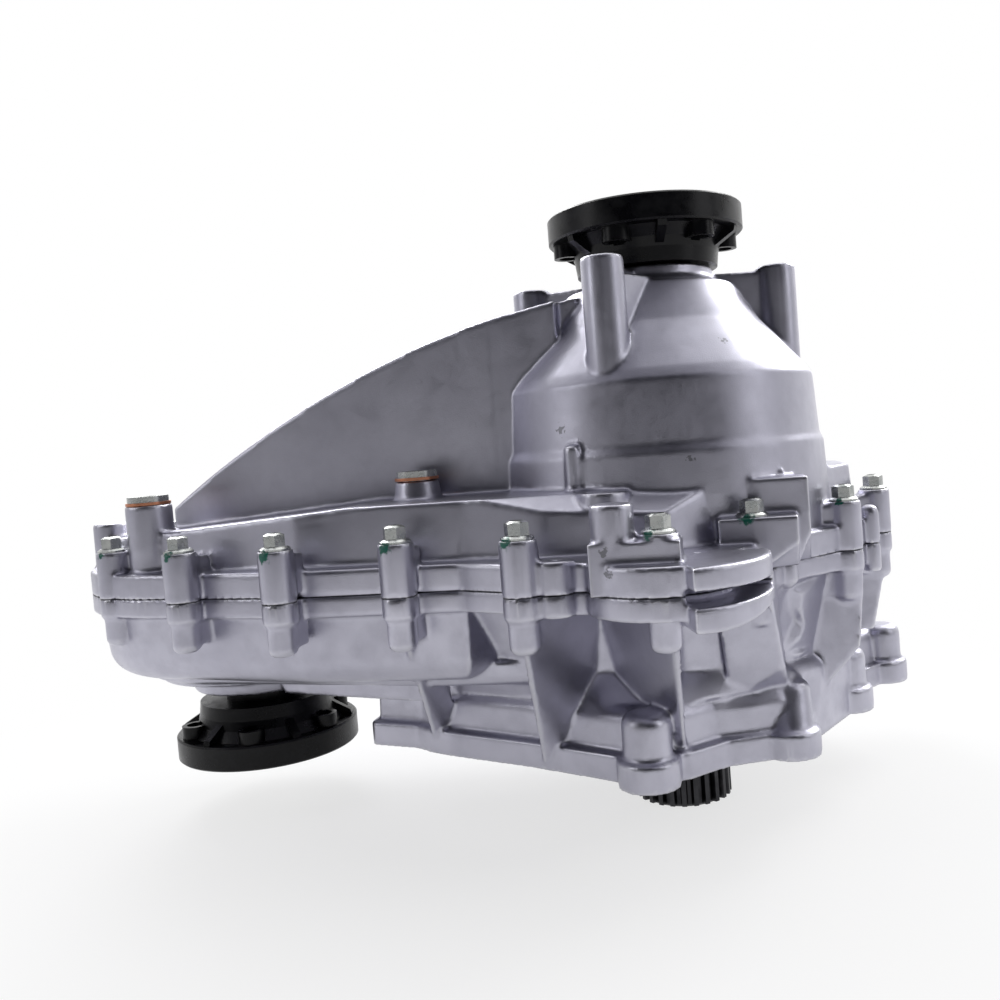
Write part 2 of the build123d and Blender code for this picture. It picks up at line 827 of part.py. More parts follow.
def cover_housing():
    body = cover_deck() + cover_drum() + cover_fin() + cover_extras()
    for place in BOLTS:
        body += boss_column(place, BOSS_R, PARTING_Z, BOLT_SEAT_Z, BLOCK_DROP)
    for place in CONE_BOSSES:
        body += cone_boss(place)
    body += arc_sector(ARC_R, PARTING_Z, COVER_FLANGE_Z)
    body -= arc_slot(PARTING_Z - 1, PARTING_Z + SLOT_H / 2)
    body -= chain_space_cover()
    body -= drum_space()
    body -= snap_groove(REAR_BEARING, REAR_SNAP_Z)
    body += upper_bearing_pocket()
    body -= plug_holes()
    body -= small_holes()
    body -= bolt_holes_cover()
    body -= cone_holes()
    return body - dowel_holes()


# Case casting
def belly():
    """Two rounded steps under the chain, down to the front output's bearing."""
    upper = bowl(belly_face(), BELLY_Z, CASE_FLANGE_Z + 1, CASE_DRAFT)
    upper = fillet(upper.edges().group_by(Axis.Z)[0], BELLY_FILLET)
    step_face = make_face(Polyline(*STEP_POINTS, close=True)) + at(FRONT) * Circle(STEP_R)
    step = bowl(step_face, BELLY_STEP_Z, BELLY_Z + 8, CASE_DRAFT)
    step = fillet(step.edges().group_by(Axis.Z)[0], STEP_FILLET)
    pad = bowl(make_face(Polyline(*PAD_POINTS, close=True)), PAD_Z, BELLY_STEP_Z + 1, CASE_DRAFT)
    return upper + step + pad


def seal_nose():
    """The turned nose round the front output's seal."""
    return turned(
        [
            (0, BELLY_STEP_Z + 10),
            (67, BELLY_STEP_Z + 10),
            (62, BELLY_STEP_Z - 3),
            (47, BELLY_STEP_Z - 5),
            (43, 31),
            (0, 31),
        ],
        FRONT,
    )


def bell():
    """The bell between the gearbox flange and the parting flange."""
    wall = loft([bell_face(BELL_FOOT_Z, 0), bell_face(BELL_TOP_Z, 0)], ruled=True)
    skirt = prism(skirt_face(), 0, SKIRT_Z, 3.0)
    skirt = fillet(skirt.edges().group_by(Axis.Z)[-1], STEP_FILLET)
    return wall + skirt


def lug_bulges():
    """The rounded column over each blind hole of the gearbox flange."""
    bulges = Part()
    for place in LUGS:
        bulge = disc(LUG_BULGE_R, 0, LUG_BULGE_TOP, place)
        bulges += fillet(bulge.edges().group_by(Axis.Z)[-1], LUG_BULGE_R / 2)
    return bulges


def web_section(outer, inner, height):
    """A web's thin plan section at a height."""
    length = hypot(inner[0] - outer[0], inner[1] - outer[1])
    side_x = (outer[1] - inner[1]) / length * WEB_T / 2
    side_y = (inner[0] - outer[0]) / length * WEB_T / 2
    corners = [
        (outer[0] + side_x, outer[1] + side_y),
        (outer[0] - side_x, outer[1] - side_y),
        (inner[0] - side_x, inner[1] - side_y),
        (inner[0] + side_x, inner[1] + side_y),
    ]
    return Pos(0, 0, height) * make_face(Polyline(*corners, close=True))


def web(top_outer, top_inner, foot_outer, foot_inner, foot_z):
    """An upright web from under the parting flange down to the bell."""
    foot = web_section(foot_outer, foot_inner, foot_z)
    return loft([foot, web_section(top_outer, top_inner, CASE_FLANGE_Z + 1)], ruled=True)


def slant(low_points, low_z, high_points, high_z):
    """A solid between two plan outlines with the same number of corners."""
    low = Pos(0, 0, low_z) * make_face(Polyline(*low_points, close=True))
    high = Pos(0, 0, high_z) * make_face(Polyline(*high_points, close=True))
    return loft([low, high], ruled=True)


def bell_shoulders():
    """The bell's sloping roof, the wedge under the arc plate and the high shoulder at the right."""
    low = Pos(0, 0, SKIRT_Z - 1) * make_face(Polyline(*ROOF_POINTS, close=True))
    roof = loft([low, bell_face(ROOF_Z, 0)], ruled=True)
    wedge = slant(WEDGE_LOW, WEDGE_LOW_Z, WEDGE_HIGH, CASE_FLANGE_Z + 1)
    shoulder = prism(outline(SHOULDER_POINTS, SHOULDER_FILLET / 2), 0, SHOULDER_Z)
    shoulder = fillet(shoulder.edges().group_by(Axis.Z)[-1], SHOULDER_FILLET)
    lobe = prism(make_face(Polyline(*LOBE_POINTS, close=True)), 0, LOBE_Z)
    return roof + wedge + shoulder + lobe


def lower_columns():
    """The rounded end of every bolt's column under the parting flange."""
    columns = Part()
    middle = (LOWER_BOSS_Z + BLOCK_DROP + PARTING_Z) / 2
    block = Box(BLOCK_REACH, COLUMN_FOOT_R * 1.5, PARTING_Z - LOWER_BOSS_Z - BLOCK_DROP)
    for place in BOLTS:
        column = disc(COLUMN_FOOT_R, LOWER_BOSS_Z, PARTING_Z, place)
        columns += fillet(column.edges().group_by(Axis.Z)[0], COLUMN_FOOT_R / 2)
        columns += at(place, middle) * Rot(0, 0, toward_wall(place)) * Pos(BLOCK_REACH / 2, 0, 0) * block
    return columns


def chain_space_case():
    """Room round the chain below the parting plane, with a well round the front bearing."""
    low_z = BELLY_Z + WALL
    room = bowl(grow(belly_face(), -WALL), low_z, PARTING_Z + 1, CASE_DRAFT)
    floor_x = BELL_LOW[0][0] + END_R
    room -= Pos(floor_x, 0, FLOOR_HIGH_Z - END_R) * Box(2 * END_R, 4 * END_R, 2 * END_R)
    room += loft([bell_face(FLOOR_HIGH_Z, WALL), bell_face(PARTING_Z + 1, WALL)], ruled=True)
    well = make_face(Polyline(*WELL_POINTS, close=True)) + at(FRONT) * Circle(WELL_R)
    room += prism(well, BELLY_STEP_Z + WALL, low_z + 1)
    hub = disc(LOWER_BEARING["outer"] + WALL, BELLY_STEP_Z, FRONT_HUB_TOP, FRONT)
    return room - hub


def bell_space():
    """The open bell between the gearbox flange and the web that carries the input bearing."""
    skirt = grow(outline(GEARBOX_POINTS, GEARBOX_FILLET), -SKIRT_INSET - WALL)
    space = prism(skirt, -1, SKIRT_Z - WALL)
    space += loft([bell_face(SKIRT_Z - WALL - 1, WALL), bell_face(FLOOR_LOW_Z, WALL)], ruled=True)
    hub_r = INPUT_BEARING["outer"] + WALL
    return space - disc(hub_r, INPUT_SEAL["z"] - 3, FLOOR_HIGH_Z) - lug_bulges()


def input_bore():
    """The stepped bore for the input seal and bearing."""
    bearing_low = INPUT_BEARING["z"]
    bearing_high = bearing_low + INPUT_BEARING["width"]
    seat_r = INPUT_BEARING["outer"] + PRESS_GAP
    seal_r = INPUT_SEAL["outer"] + PRESS_GAP
    return turned(
        [
            (0, -1),
            (seal_r, -1),
            (seal_r, INPUT_SEAL["z"] + INPUT_SEAL["width"]),
            (seal_r - 3, INPUT_SEAL["z"] + INPUT_SEAL["width"]),
            (seal_r - 3, bearing_low),
            (seat_r, bearing_low),
            (seat_r, FLOOR_HIGH_Z + 1),
            (0, FLOOR_HIGH_Z + 1),
        ]
    )


def front_bore():
    """The stepped bore for the front output's seal and lower bearing."""
    bearing_low = LOWER_BEARING["z"]
    seat_r = LOWER_BEARING["outer"] + PRESS_GAP
    seal_r = FRONT_SEAL["outer"] + PRESS_GAP
    seal_high = FRONT_SEAL["z"] + FRONT_SEAL["width"]
    return turned(
        [
            (0, 30),
            (seal_r, 30),
            (seal_r, seal_high),
            (seal_r - 3, seal_high),
            (seal_r - 3, bearing_low),
            (seat_r, bearing_low),
            (seat_r, FRONT_HUB_TOP + 1),
            (0, FRONT_HUB_TOP + 1),
        ],
        FRONT,
    )


def bolt_holes_case():
    holes = Part()
    for place in BOLTS:
        low = PARTING_Z - BOLT_REACH - BOLT_HOLE_END
        holes += disc(BOLT_R + RUNNING, low, PARTING_Z + 1, place)
    return holes


def lug_holes():
    holes = Part()
    for place in LUGS:
        holes += disc(LUG_HOLE_R, -1, LUG_HOLE_DEPTH, place)
    return holes


def case_housing():
    body = prism(parting_face(), CASE_FLANGE_Z, PARTING_Z)
    body += prism(gearbox_face(), 0, GEARBOX_FLANGE_T)
    body += belly()
    body += bell()
    body += seal_nose()
    body += lug_bulges()
    body += lower_columns()
    body += bell_shoulders()
    for corners in WEBS:
        body += web(*corners)
    body += edge_post(CASE_FLANGE_Z - EDGE_POST_R, PARTING_Z)
    body += arc_sector(ARC_R, CASE_FLANGE_Z - 4, PARTING_Z)
    body -= arc_slot(PARTING_Z - SLOT_H / 2, PARTING_Z + 1)
    body -= chain_space_case()
    body -= bell_space()
    body -= input_bore()
    body -= front_bore()
    body -= snap_groove(INPUT_BEARING, INPUT_SNAP_Z)
    body -= snap_groove(LOWER_BEARING, FRONT_SNAP_Z, FRONT)
    body -= bolt_holes_case()
    body -= lug_holes()
    return body - dowel_holes()


# Fasteners and plugs
def hexagon(flats):
    return RegularPolygon(flats / 2, 6, major_radius=False)


def case_bolt(place):
    """A flanged hexagon bolt with a chamfered, dished head."""
    corner_r = BOLT_AF / 2 / cos(radians(30))
    envelope = turned(
        [
            (0, -BOLT_FLANGE_H),
            (BOLT_FLANGE_R, -BOLT_FLANGE_H),
            (BOLT_FLANGE_R, -BOLT_FLANGE_H / 2),
            (corner_r + BOLT_CHAMFER / 2, 0),
            (0, 0),
        ]
    )
    head_h = BOLT_HEAD_H - BOLT_FLANGE_H
    chamfered = turned(
        [
            (0, 0),
            (corner_r, 0),
            (corner_r, head_h - BOLT_CHAMFER),
            (corner_r - 2 * BOLT_CHAMFER, head_h),
            (0, head_h),
        ]
    )
    head = extrude(hexagon(BOLT_AF), head_h) & chamfered
    head -= disc(BOLT_DISH_R, head_h - BOLT_CHAMFER, head_h + 1)
    shank = disc(BOLT_R, PARTING_Z - BOLT_REACH, BOLT_SEAT_Z, place)
    return shank + at(place, BOLT_SEAT_Z + BOLT_FLANGE_H) * (envelope + head)


def case_bolts():
    """All the bolts of the parting flange."""
    return Compound(children=[case_bolt(place) for place in BOLTS])


def dowel_pins():
    pins = []
    for place in DOWELS:
        pins.append(disc(DOWEL_R, PARTING_Z - DOWEL_LENGTH / 2, PARTING_Z + DOWEL_LENGTH / 2, place))
    return Compound(children=pins)


def screw_plug(place, seat_z):
    """A plug with a thin round head and a hexagon socket, on its washer."""
    head_low = seat_z + WASHER_T
    body = disc(PLUG_R - RUNNING, head_low - PLUG_LENGTH, head_low, place)
    body += disc(PLUG_HEAD_R, head_low, head_low + PLUG_HEAD_H, place)
    key_low = head_low + PLUG_HEAD_H - PLUG_KEY_DEPTH
    return body - at(place, key_low) * extrude(hexagon(PLUG_KEY_AF), PLUG_KEY_DEPTH + 1)


def plug_washers():
    washers = []
    for place, seat_z in ((FILL_BOSS, FILL_BOSS_TOP), (LEVEL_BOSS, LEVEL_BOSS_TOP)):
        washers.append(ring(PLUG_R + RUNNING, PLUG_HEAD_R + 1, seat_z, seat_z + WASHER_T, place))
    return Compound(children=washers)


# Bearings and seals
def race_sizes(bearing):
    """Roller radius and the radius of the circle through the rollers."""
    space = bearing["outer"] - bearing["bore"]
    return space * ROLLER_SHARE / 2, (bearing["outer"] + bearing["bore"]) / 2


def bearing_outer(bearing, place=MAIN):
    roller_r, pitch_r = race_sizes(bearing)
    low, high = bearing["z"], bearing["z"] + bearing["width"]
    track = ring(pitch_r, pitch_r + roller_r + RUNNING, low + RACE_LIP, high - RACE_LIP, place)
    return ring(pitch_r + roller_r - 1, bearing["outer"], low, high, place) - track


def bearing_inner(bearing, place=MAIN):
    roller_r, pitch_r = race_sizes(bearing)
    low, high = bearing["z"], bearing["z"] + bearing["width"]
    return ring(bearing["bore"], pitch_r - roller_r - RUNNING, low, high, place)


def bearing_rollers(bearing, place=MAIN):
    roller_r, pitch_r = race_sizes(bearing)
    low = bearing["z"] + RACE_LIP + RUNNING
    high = bearing["z"] + bearing["width"] - RACE_LIP - RUNNING
    rollers = []
    for spot, _ in around(place, pitch_r, ROLLERS):
        rollers.append(disc(roller_r, low, high, spot))
    return Compound(children=rollers)


def oil_seal(seal, place=MAIN):
    """A pressed seal ring whose lip runs on the shaft."""
    low, high = seal["z"], seal["z"] + seal["width"]
    lip = seal["lip"] + RUNNING
    body = [
        (seal["outer"], low),
        (seal["outer"], high),
        (lip + 2.5, high),
        (lip + 2.5, low + 5),
        (lip, low + 3),
        (lip, low),
    ]
    return turned(body, place)


def snap_ring(bearing, low, place=MAIN):
    """The split ring in a groove of the seat that holds a bearing's outer race."""
    outer = bearing["outer"] + SNAP_BITE - RUNNING
    whole = ring(outer - SNAP_W, outer, low, low + SNAP_T, place)
    return whole - at(place, low) * Pos(outer, 0, 0) * Box(2 * SNAP_W + 2, SNAP_GAP, 4 * SNAP_T)


# Gears
def involute(angle):
    return tan(angle) - angle


def tooth_half_angle(teeth, radius, extra):
    """Half the angle that a tooth covers at a radius, with an extra width at the pitch circle."""
    pitch_r = GEAR_MODULE * teeth / 2
    base_r = pitch_r * cos(radians(PRESSURE_ANGLE))
    at_pitch = pi / (2 * teeth) + extra / (2 * pitch_r) + involute(radians(PRESSURE_ANGLE))
    return at_pitch - involute(acos(base_r / max(radius, base_r)))


def gear_face(teeth, tip, root, extra, start):
    """The plan of a toothed wheel with one tooth centred on the start angle."""
    points = []
    middle = (tip + root) / 2
    for index in range(teeth):
        centre = radians(start) + 2 * pi * index / teeth
        for radius, side in ((root, -1), (middle, -1), (tip, -1), (tip, 1), (middle, 1), (root, 1)):
            angle = centre + side * tooth_half_angle(teeth, radius, extra)
            points.append((radius * cos(angle), radius * sin(angle)))
    return make_face(Polyline(*points, close=True))


def planet_gears():
    """Planets with a tooth gap toward the sun and toward the ring gear."""
    gears = []
    for spot, turn in around(MAIN, CARRIER_R, PLANETS):
        first = turn + 180 / PLANET_TEETH
        tip, root = PLANET_GEAR_R + ADDENDUM, PLANET_GEAR_R - DEDENDUM
        face = gear_face(PLANET_TEETH, tip, root, -BACKLASH / 2, first)
        face -= Circle(PLANET_PIN_R + RUNNING)
        gears.append(at(spot, GEAR_Z) * extrude(face, GEAR_WIDTH))
    return Compound(children=gears)


def planet_pins():
    pins = []
    for spot, _ in around(MAIN, CARRIER_R, PLANETS):
        pins.append(disc(PLANET_PIN_R, CARRIER_LOW, CARRIER_HIGH + CARRIER_T, spot))
    return Compound(children=pins)


def planet_carrier():
    """Two plates joined by a pillar between each pair of planets, splined to the input shaft."""
    lower = ring(TUBE_R + 1, CARRIER_PLATE_R, CARRIER_LOW, CARRIER_LOW + CARRIER_T)
    upper = ring(INPUT_R - HUB_STEP, CARRIER_PLATE_R, CARRIER_HIGH, CARRIER_HIGH + CARRIER_T)
    body = lower + upper
    for spot, turn in around(MAIN, CARRIER_R + 2, PLANETS, 180 / PLANETS):
        plan = Rectangle(PILLAR_DEPTH, PILLAR_WIDTH)
        pillar = Rot(0, 0, turn) * extrude(plan, CARRIER_HIGH - CARRIER_LOW + 1)
        body += at(spot, CARRIER_LOW) * pillar
    for spot, _ in around(MAIN, CARRIER_R, PLANETS):
        body -= disc(PLANET_PIN_R, CARRIER_LOW - 1, CARRIER_HIGH + CARRIER_T + 1, spot)
    return body


def ring_gear():
    """The internal gear in its drum, carried by the rear output shaft."""
    tip, root = RING_PITCH_R + DEDENDUM, RING_PITCH_R - ADDENDUM
    gap = gear_face(RING_TEETH, tip, root, BACKLASH / 2, 180 / RING_TEETH)
    body = Pos(0, 0, GEAR_Z) * extrude(Circle(RING_R) - gap, GEAR_WIDTH)
    drum_low = GEAR_Z + GEAR_WIDTH
    body += ring(RING_PITCH_R + DEDENDUM + 1, RING_R, drum_low - 1, DRUM_WEB_Z)
    return body + ring(OUTPUT_HUB_R, RING_R, DRUM_WEB_Z, DRUM_WEB_Z + CARRIER_T)


def sprocket_face():
    """A silent-chain sprocket with a tooth at the middle of every link."""
    points = []
    chord_r = PITCH_R * cos(pi / SPROCKET_TEETH)
    tooth = [
        (TOOTH_ROOT_W, -TOOTH_ROOT),
        (TOOTH_TIP_W, -TOOTH_TIP),
        (-TOOTH_TIP_W, -TOOTH_TIP),
        (-TOOTH_ROOT_W, -TOOTH_ROOT),
    ]
    for index in range(SPROCKET_TEETH):
        centre = pi / 2 + 2 * pi * (index + 0.5) / SPROCKET_TEETH
        for across, out in tooth:
            radius = chord_r + out
            points.append(
                (radius * cos(centre) + across * sin(centre), radius * sin(centre) - across * cos(centre))
            )
    return make_face(Polyline(*points, close=True))


def sun_sprocket():
    """Drive sprocket, its tube and the sun gear, running on the sleeve round the input shaft."""
    body = Pos(0, 0, SPROCKET_LOW) * extrude(sprocket_face(), CHAIN_WIDTH)
    body += disc(TUBE_R, SPROCKET_LOW, GEAR_Z + GEAR_WIDTH)
    sun = gear_face(SUN_TEETH, SUN_R + ADDENDUM, SUN_R - DEDENDUM, -BACKLASH / 2, 0)
    body += Pos(0, 0, GEAR_Z) * extrude(sun, GEAR_WIDTH)
    return body - disc(TUBE_BORE, SPROCKET_LOW - 1, GEAR_Z + GEAR_WIDTH + 1)


def needle_sleeve():
    return ring(SLEEVE_BORE, SLEEVE_BORE + SLEEVE_T, SPROCKET_LOW + 1, SPROCKET_HIGH + 30)


def input_shaft():
    """Hollow shaft with the external spline that enters the gearbox."""
    bearing_low = INPUT_BEARING["z"]
    bearing_high = bearing_low + INPUT_BEARING["width"]
    spline_high = SPLINE_END_Z + SPLINE_LENGTH
    root_r = SPLINE_R - SPLINE_DEPTH
    body = turned(
        [
            (INPUT_BORE_R, SPLINE_END_Z),
            (root_r - 1.5, SPLINE_END_Z),
            (root_r, SPLINE_END_Z + 1.5),
            (root_r, spline_high),
            (INPUT_SEAL["lip"], spline_high + 2),
            (INPUT_SEAL["lip"], bearing_high),
            (INPUT_BEARING["bore"] + 4, bearing_high),
            (INPUT_BEARING["bore"] + 4, SPROCKET_LOW - 2),
            (INPUT_R, SPROCKET_LOW - 2),
            (INPUT_R, CARRIER_HIGH - RUNNING),
            (INPUT_R - HUB_STEP, CARRIER_HIGH - RUNNING),
            (INPUT_R - HUB_STEP, CARRIER_HIGH + CARRIER_T),
            (INPUT_BORE_R, CARRIER_HIGH + CARRIER_T),
        ]
    )
    return body + spline_teeth(root_r, SPLINE_R, SPLINE_END_Z + 1.5, spline_high + 1)


def spline_teeth(root_r, tip_r, z_low, z_high):
    """Straight teeth round a shaft, set into it a little."""
    pitch = 2 * pi / SPLINE_TEETH
    profile = [
        (root_r, -SPLINE_ROOT_SHARE),
        (tip_r, -SPLINE_TIP_SHARE),
        (tip_r, SPLINE_TIP_SHARE),
        (root_r, SPLINE_ROOT_SHARE),
    ]
    points = []
    for index in range(SPLINE_TEETH):
        centre = pitch * index
        for radius, side in profile:
            angle = centre + side * pitch
            points.append((radius * cos(angle), radius * sin(angle)))
    face = make_face(Polyline(*points, close=True)) - Circle(root_r - 3)
    return Pos(0, 0, z_low) * extrude(face, z_high - z_low)


def rear_output_shaft():
    bearing_low = REAR_BEARING["z"]
    bearing_high = bearing_low + REAR_BEARING["width"]
    web_low = DRUM_WEB_Z
    return turned(
        [
            (0, web_low),
            (OUTPUT_HUB_R, web_low),
            (OUTPUT_HUB_R, bearing_low),
            (REAR_BEARING["bore"], bearing_low),
            (REAR_BEARING["bore"], bearing_high),
            (FLANGE_BORE_R, bearing_high),
            (FLANGE_BORE_R, REAR_FACE_Z - PILOT_DEPTH),
            (STUB_R, REAR_FACE_Z - PILOT_DEPTH),
            (STUB_R, REAR_FACE_Z - 2),
            (0, REAR_FACE_Z - 2),
        ]
    )


def front_output_shaft():
    low_bearing_low = LOWER_BEARING["z"]
    low_bearing_high = low_bearing_low + LOWER_BEARING["width"]
    up_low = UPPER_BEARING["z"]
    up_high = up_low + UPPER_BEARING["width"]
    seat_z = FRONT_FACE_Z + PILOT_DEPTH
    return turned(
        [
            (0, FRONT_FACE_Z + 2),
            (STUB_R, FRONT_FACE_Z + 2),
            (STUB_R, seat_z),
            (FLANGE_BORE_R, seat_z),
            (FLANGE_BORE_R, low_bearing_low),
            (LOWER_BEARING["bore"], low_bearing_low),
            (LOWER_BEARING["bore"], low_bearing_high),
            (LOWER_BEARING["bore"] + SHOULDER, low_bearing_high),
            (LOWER_BEARING["bore"] + SHOULDER, SPROCKET_LOW),
            (DRIVEN_BORE_R, SPROCKET_LOW),
            (DRIVEN_BORE_R, SPROCKET_HIGH),
            (UPPER_BEARING["bore"], SPROCKET_HIGH),
            (UPPER_BEARING["bore"], up_high),
            (0, up_high),
        ],
        FRONT,
    )


def driven_sprocket():
    face = Rot(0, 0, 180) * sprocket_face() - Circle(DRIVEN_BORE_R)
    body = at(FRONT, SPROCKET_LOW) * extrude(face, CHAIN_WIDTH)
    bore_r = UPPER_BEARING["bore"] + RUNNING
    return body + ring(bore_r, DRIVEN_BORE_R + 5, SPROCKET_HIGH, UPPER_BEARING["z"], FRONT)


# Drive chain
def path_point(distance):
    """Place and direction on the closed line through the pins, from the main sprocket's top."""
    straight = AXIS_SPAN
    half_turn = pi * PITCH_R
    if distance < half_turn:
        angle = pi / 2 - distance / PITCH_R
        return (PITCH_R * cos(angle), PITCH_R * sin(angle)), angle
    distance -= half_turn
    if distance < straight:
        return (-distance, -PITCH_R), -pi / 2
    distance -= straight
    if distance < half_turn:
        angle = -pi / 2 - distance / PITCH_R
        return (FRONT[0] + PITCH_R * cos(angle), PITCH_R * sin(angle)), angle
    distance -= half_turn
    return (FRONT[0] + distance, PITCH_R), pi / 2


def link_face():
    """One toothed link plate: rounded back, two toes, and a crotch over the sprocket tooth."""
    half = CHAIN_PITCH / 2
    toe_out = CROTCH_W + FLANK_SLOPE * (LINK_TOE - CROTCH_DEPTH)
    toe_in = 2 * (half - LINK_TOE * tan(pi / SPROCKET_TEETH)) - toe_out
    right = [
        (half + 1.9, LINK_PLATE_H),
        (half + LINK_PLATE_H, 0.6),
        (toe_in + 0.1, -LINK_TOE),
        (toe_out, -LINK_TOE),
        (CROTCH_W, -CROTCH_DEPTH),
    ]
    left = [(-x, y) for x, y in reversed(right)]
    return make_face(Polyline(*right, *left, close=True))


def chain_link(index, z_low, z_high):
    """A link between two neighbouring pins, in the sprocket's own plane."""
    start, _ = path_point(index * CHAIN_PITCH)
    end, _ = path_point((index + 1) % CHAIN_LINKS * CHAIN_PITCH)
    middle = ((start[0] + end[0]) / 2, (start[1] + end[1]) / 2)
    turn = degrees(atan2(end[1] - start[1], end[0] - start[0]))
    return at(middle, z_low) * Rot(0, 0, turn) * extrude(link_face(), z_high - z_low)


def chain_pins(index, z_low, z_high, radius):
    pins = Part()
    for step in (0, 1):
        spot, _ = path_point((index + step) % CHAIN_LINKS * CHAIN_PITCH)
        pins += at(spot, z_low) * extrude(Circle(radius), z_high - z_low)
    return pins


def drive_chain():
    """Outer links carry the pins; inner links turn on them."""
    third = (PACK_HIGH - PACK_Z) / 3
    first_gap = PACK_Z + third
    second_gap = PACK_HIGH - third
    links = []
    for index in range(0, CHAIN_LINKS, 2):
        outer = chain_link(index, PACK_Z, first_gap) + chain_link(index, second_gap, PACK_HIGH)
        outer += chain_pins(index, PACK_Z + 1, PACK_HIGH - 1, PIN_R)
        inner = chain_link(index + 1, first_gap + RUNNING, second_gap - RUNNING)
        inner -= chain_pins(index + 1, PACK_Z, PACK_HIGH, PIN_R + RUNNING)
        links += [outer, inner]
    return Compound(children=links)


# Companion flanges, drawn with the face upward at height zero
def companion_flange(sleeve_r, sleeve_low):
    """Disc, hub, sleeve and the ribs and bosses under the disc."""
    disc_low = -FLANGE_T
    hub_low = disc_low - FLANGE_HUB_H
    body = turned(
        [
            (FLANGE_BORE_R, sleeve_low),
            (sleeve_r, sleeve_low),
            (sleeve_r, hub_low),
            (FLANGE_HUB_R, hub_low),
            (FLANGE_HUB_R + 1, hub_low + 8),
            (FLANGE_ROOT_R - 2, disc_low - 6),
            (FLANGE_ROOT_R + 3, disc_low),
            (FLANGE_R - 1, disc_low),
            (FLANGE_R, disc_low + 1),
            (FLANGE_R, -1),
            (FLANGE_R - 1, 0),
            (PILOT_R, 0),
            (PILOT_R, -PILOT_DEPTH),
            (FLANGE_BORE_R, -PILOT_DEPTH),
        ]
    )
    for spot, _ in around(MAIN, FLANGE_BOLT_R, FLANGE_BOLTS, FLANGE_BOLT_TURN):
        body += disc(FLANGE_BOSS_R, disc_low - FLANGE_BOSS_H, disc_low, spot)
    for _, turn in around(MAIN, FLANGE_BOLT_R, FLANGE_BOLTS, FLANGE_BOLT_TURN + 180 / FLANGE_BOLTS):
        body += Rot(0, 0, turn) * flange_rib(disc_low)
    for spot, _ in around(MAIN, FLANGE_BOLT_R, FLANGE_BOLTS, FLANGE_BOLT_TURN):
        body -= disc(FLANGE_HOLE_R, disc_low - FLANGE_BOSS_H - 1, 1, spot)
    return body


def flange_rib(disc_low):
    """A low triangular rib between the hub and the rim."""
    points = [
        (FLANGE_HUB_R - 2, disc_low + 1),
        (FLANGE_R - 2, disc_low + 1),
        (FLANGE_R - 3, disc_low - 3),
        (FLANGE_HUB_R - 2, disc_low - 12),
    ]
    face = make_face(Plane.XZ * Polyline(*points, close=True))
    return Pos(0, -FLANGE_RIB_T / 2, 0) * extrude(face, FLANGE_RIB_T, dir=(0, 1, 0))


def rear_flange():
    sleeve_low = REAR_BEARING["z"] + REAR_BEARING["width"] - REAR_FACE_Z
    return Pos(0, 0, REAR_FACE_Z) * companion_flange(REAR_SEAL["lip"], sleeve_low)


def front_flange():
    sleeve_low = FRONT_FACE_Z - LOWER_BEARING["z"]
    return at(FRONT, FRONT_FACE_Z) * Rot(180, 0, 0) * companion_flange(FRONT_SEAL["lip"], sleeve_low)


def shaft_nut():
    """The nut in the flange's pilot recess, with its seat at height zero."""
    return extrude(hexagon(NUT_AF) - Circle(STUB_R + RUNNING), NUT_H)


def rear_flange_nut():
    return Pos(0, 0, REAR_FACE_Z - PILOT_DEPTH) * shaft_nut()


def front_flange_nut():
    return at(FRONT, FRONT_FACE_Z + PILOT_DEPTH) * Rot(180, 0, 0) * shaft_nut()


def chip_magnet():
    floor = BELLY_STEP_Z + WALL
    return ring(3, MAGNET_R, floor, floor + MAGNET_T, MAGNET_PLACE)


def main():
    nodes = {
        "cover_housing": cover_housing(),
        "case_housing": case_housing(),
        "case_bolts": case_bolts(),
        "dowel_pins": dowel_pins(),
        "fill_plug": screw_plug(FILL_BOSS, FILL_BOSS_TOP),
        "level_plug": screw_plug(LEVEL_BOSS, LEVEL_BOSS_TOP),
        "plug_washers": plug_washers(),
        "chip_magnet": chip_magnet(),
        "input_seal": oil_seal(INPUT_SEAL),
        "rear_seal": oil_seal(REAR_SEAL),
        "front_seal": oil_seal(FRONT_SEAL, FRONT),
        "input_snap_ring": snap_ring(INPUT_BEARING, INPUT_SNAP_Z),
        "front_snap_ring": snap_ring(LOWER_BEARING, FRONT_SNAP_Z, FRONT),
        "rear_snap_ring": snap_ring(REAR_BEARING, REAR_SNAP_Z),
        "input_shaft": input_shaft(),
        "needle_sleeve": needle_sleeve(),
        "planet_carrier": planet_carrier(),
        "planet_gears": planet_gears(),
        "planet_pins": planet_pins(),
        "sun_sprocket": sun_sprocket(),
        "ring_gear": ring_gear(),
        "rear_output_shaft": rear_output_shaft(),
        "rear_flange": rear_flange(),
        "rear_flange_nut": rear_flange_nut(),
        "drive_chain": drive_chain(),
        "driven_sprocket": driven_sprocket(),
        "front_output_shaft": front_output_shaft(),
        "front_flange": front_flange(),
        "front_flange_nut": front_flange_nut(),
    }
    bearings = {
        "input_bearing": (INPUT_BEARING, MAIN),
        "rear_bearing": (REAR_BEARING, MAIN),
        "lower_bearing": (LOWER_BEARING, FRONT),
        "upper_bearing": (UPPER_BEARING, FRONT),
    }
    for name, (bearing, place) in bearings.items():
        nodes[name + "_outer"] = bearing_outer(bearing, place)
        nodes[name + "_inner"] = bearing_inner(bearing, place)
        nodes[name + "_rollers"] = bearing_rollers(bearing, place)
    for name, shape in nodes.items():
        export_step(shape, "parts/" + name + ".step")


main()
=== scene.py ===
import json
import math

import bmesh
import bpy
import numpy as np
from mathutils import Matrix, Vector


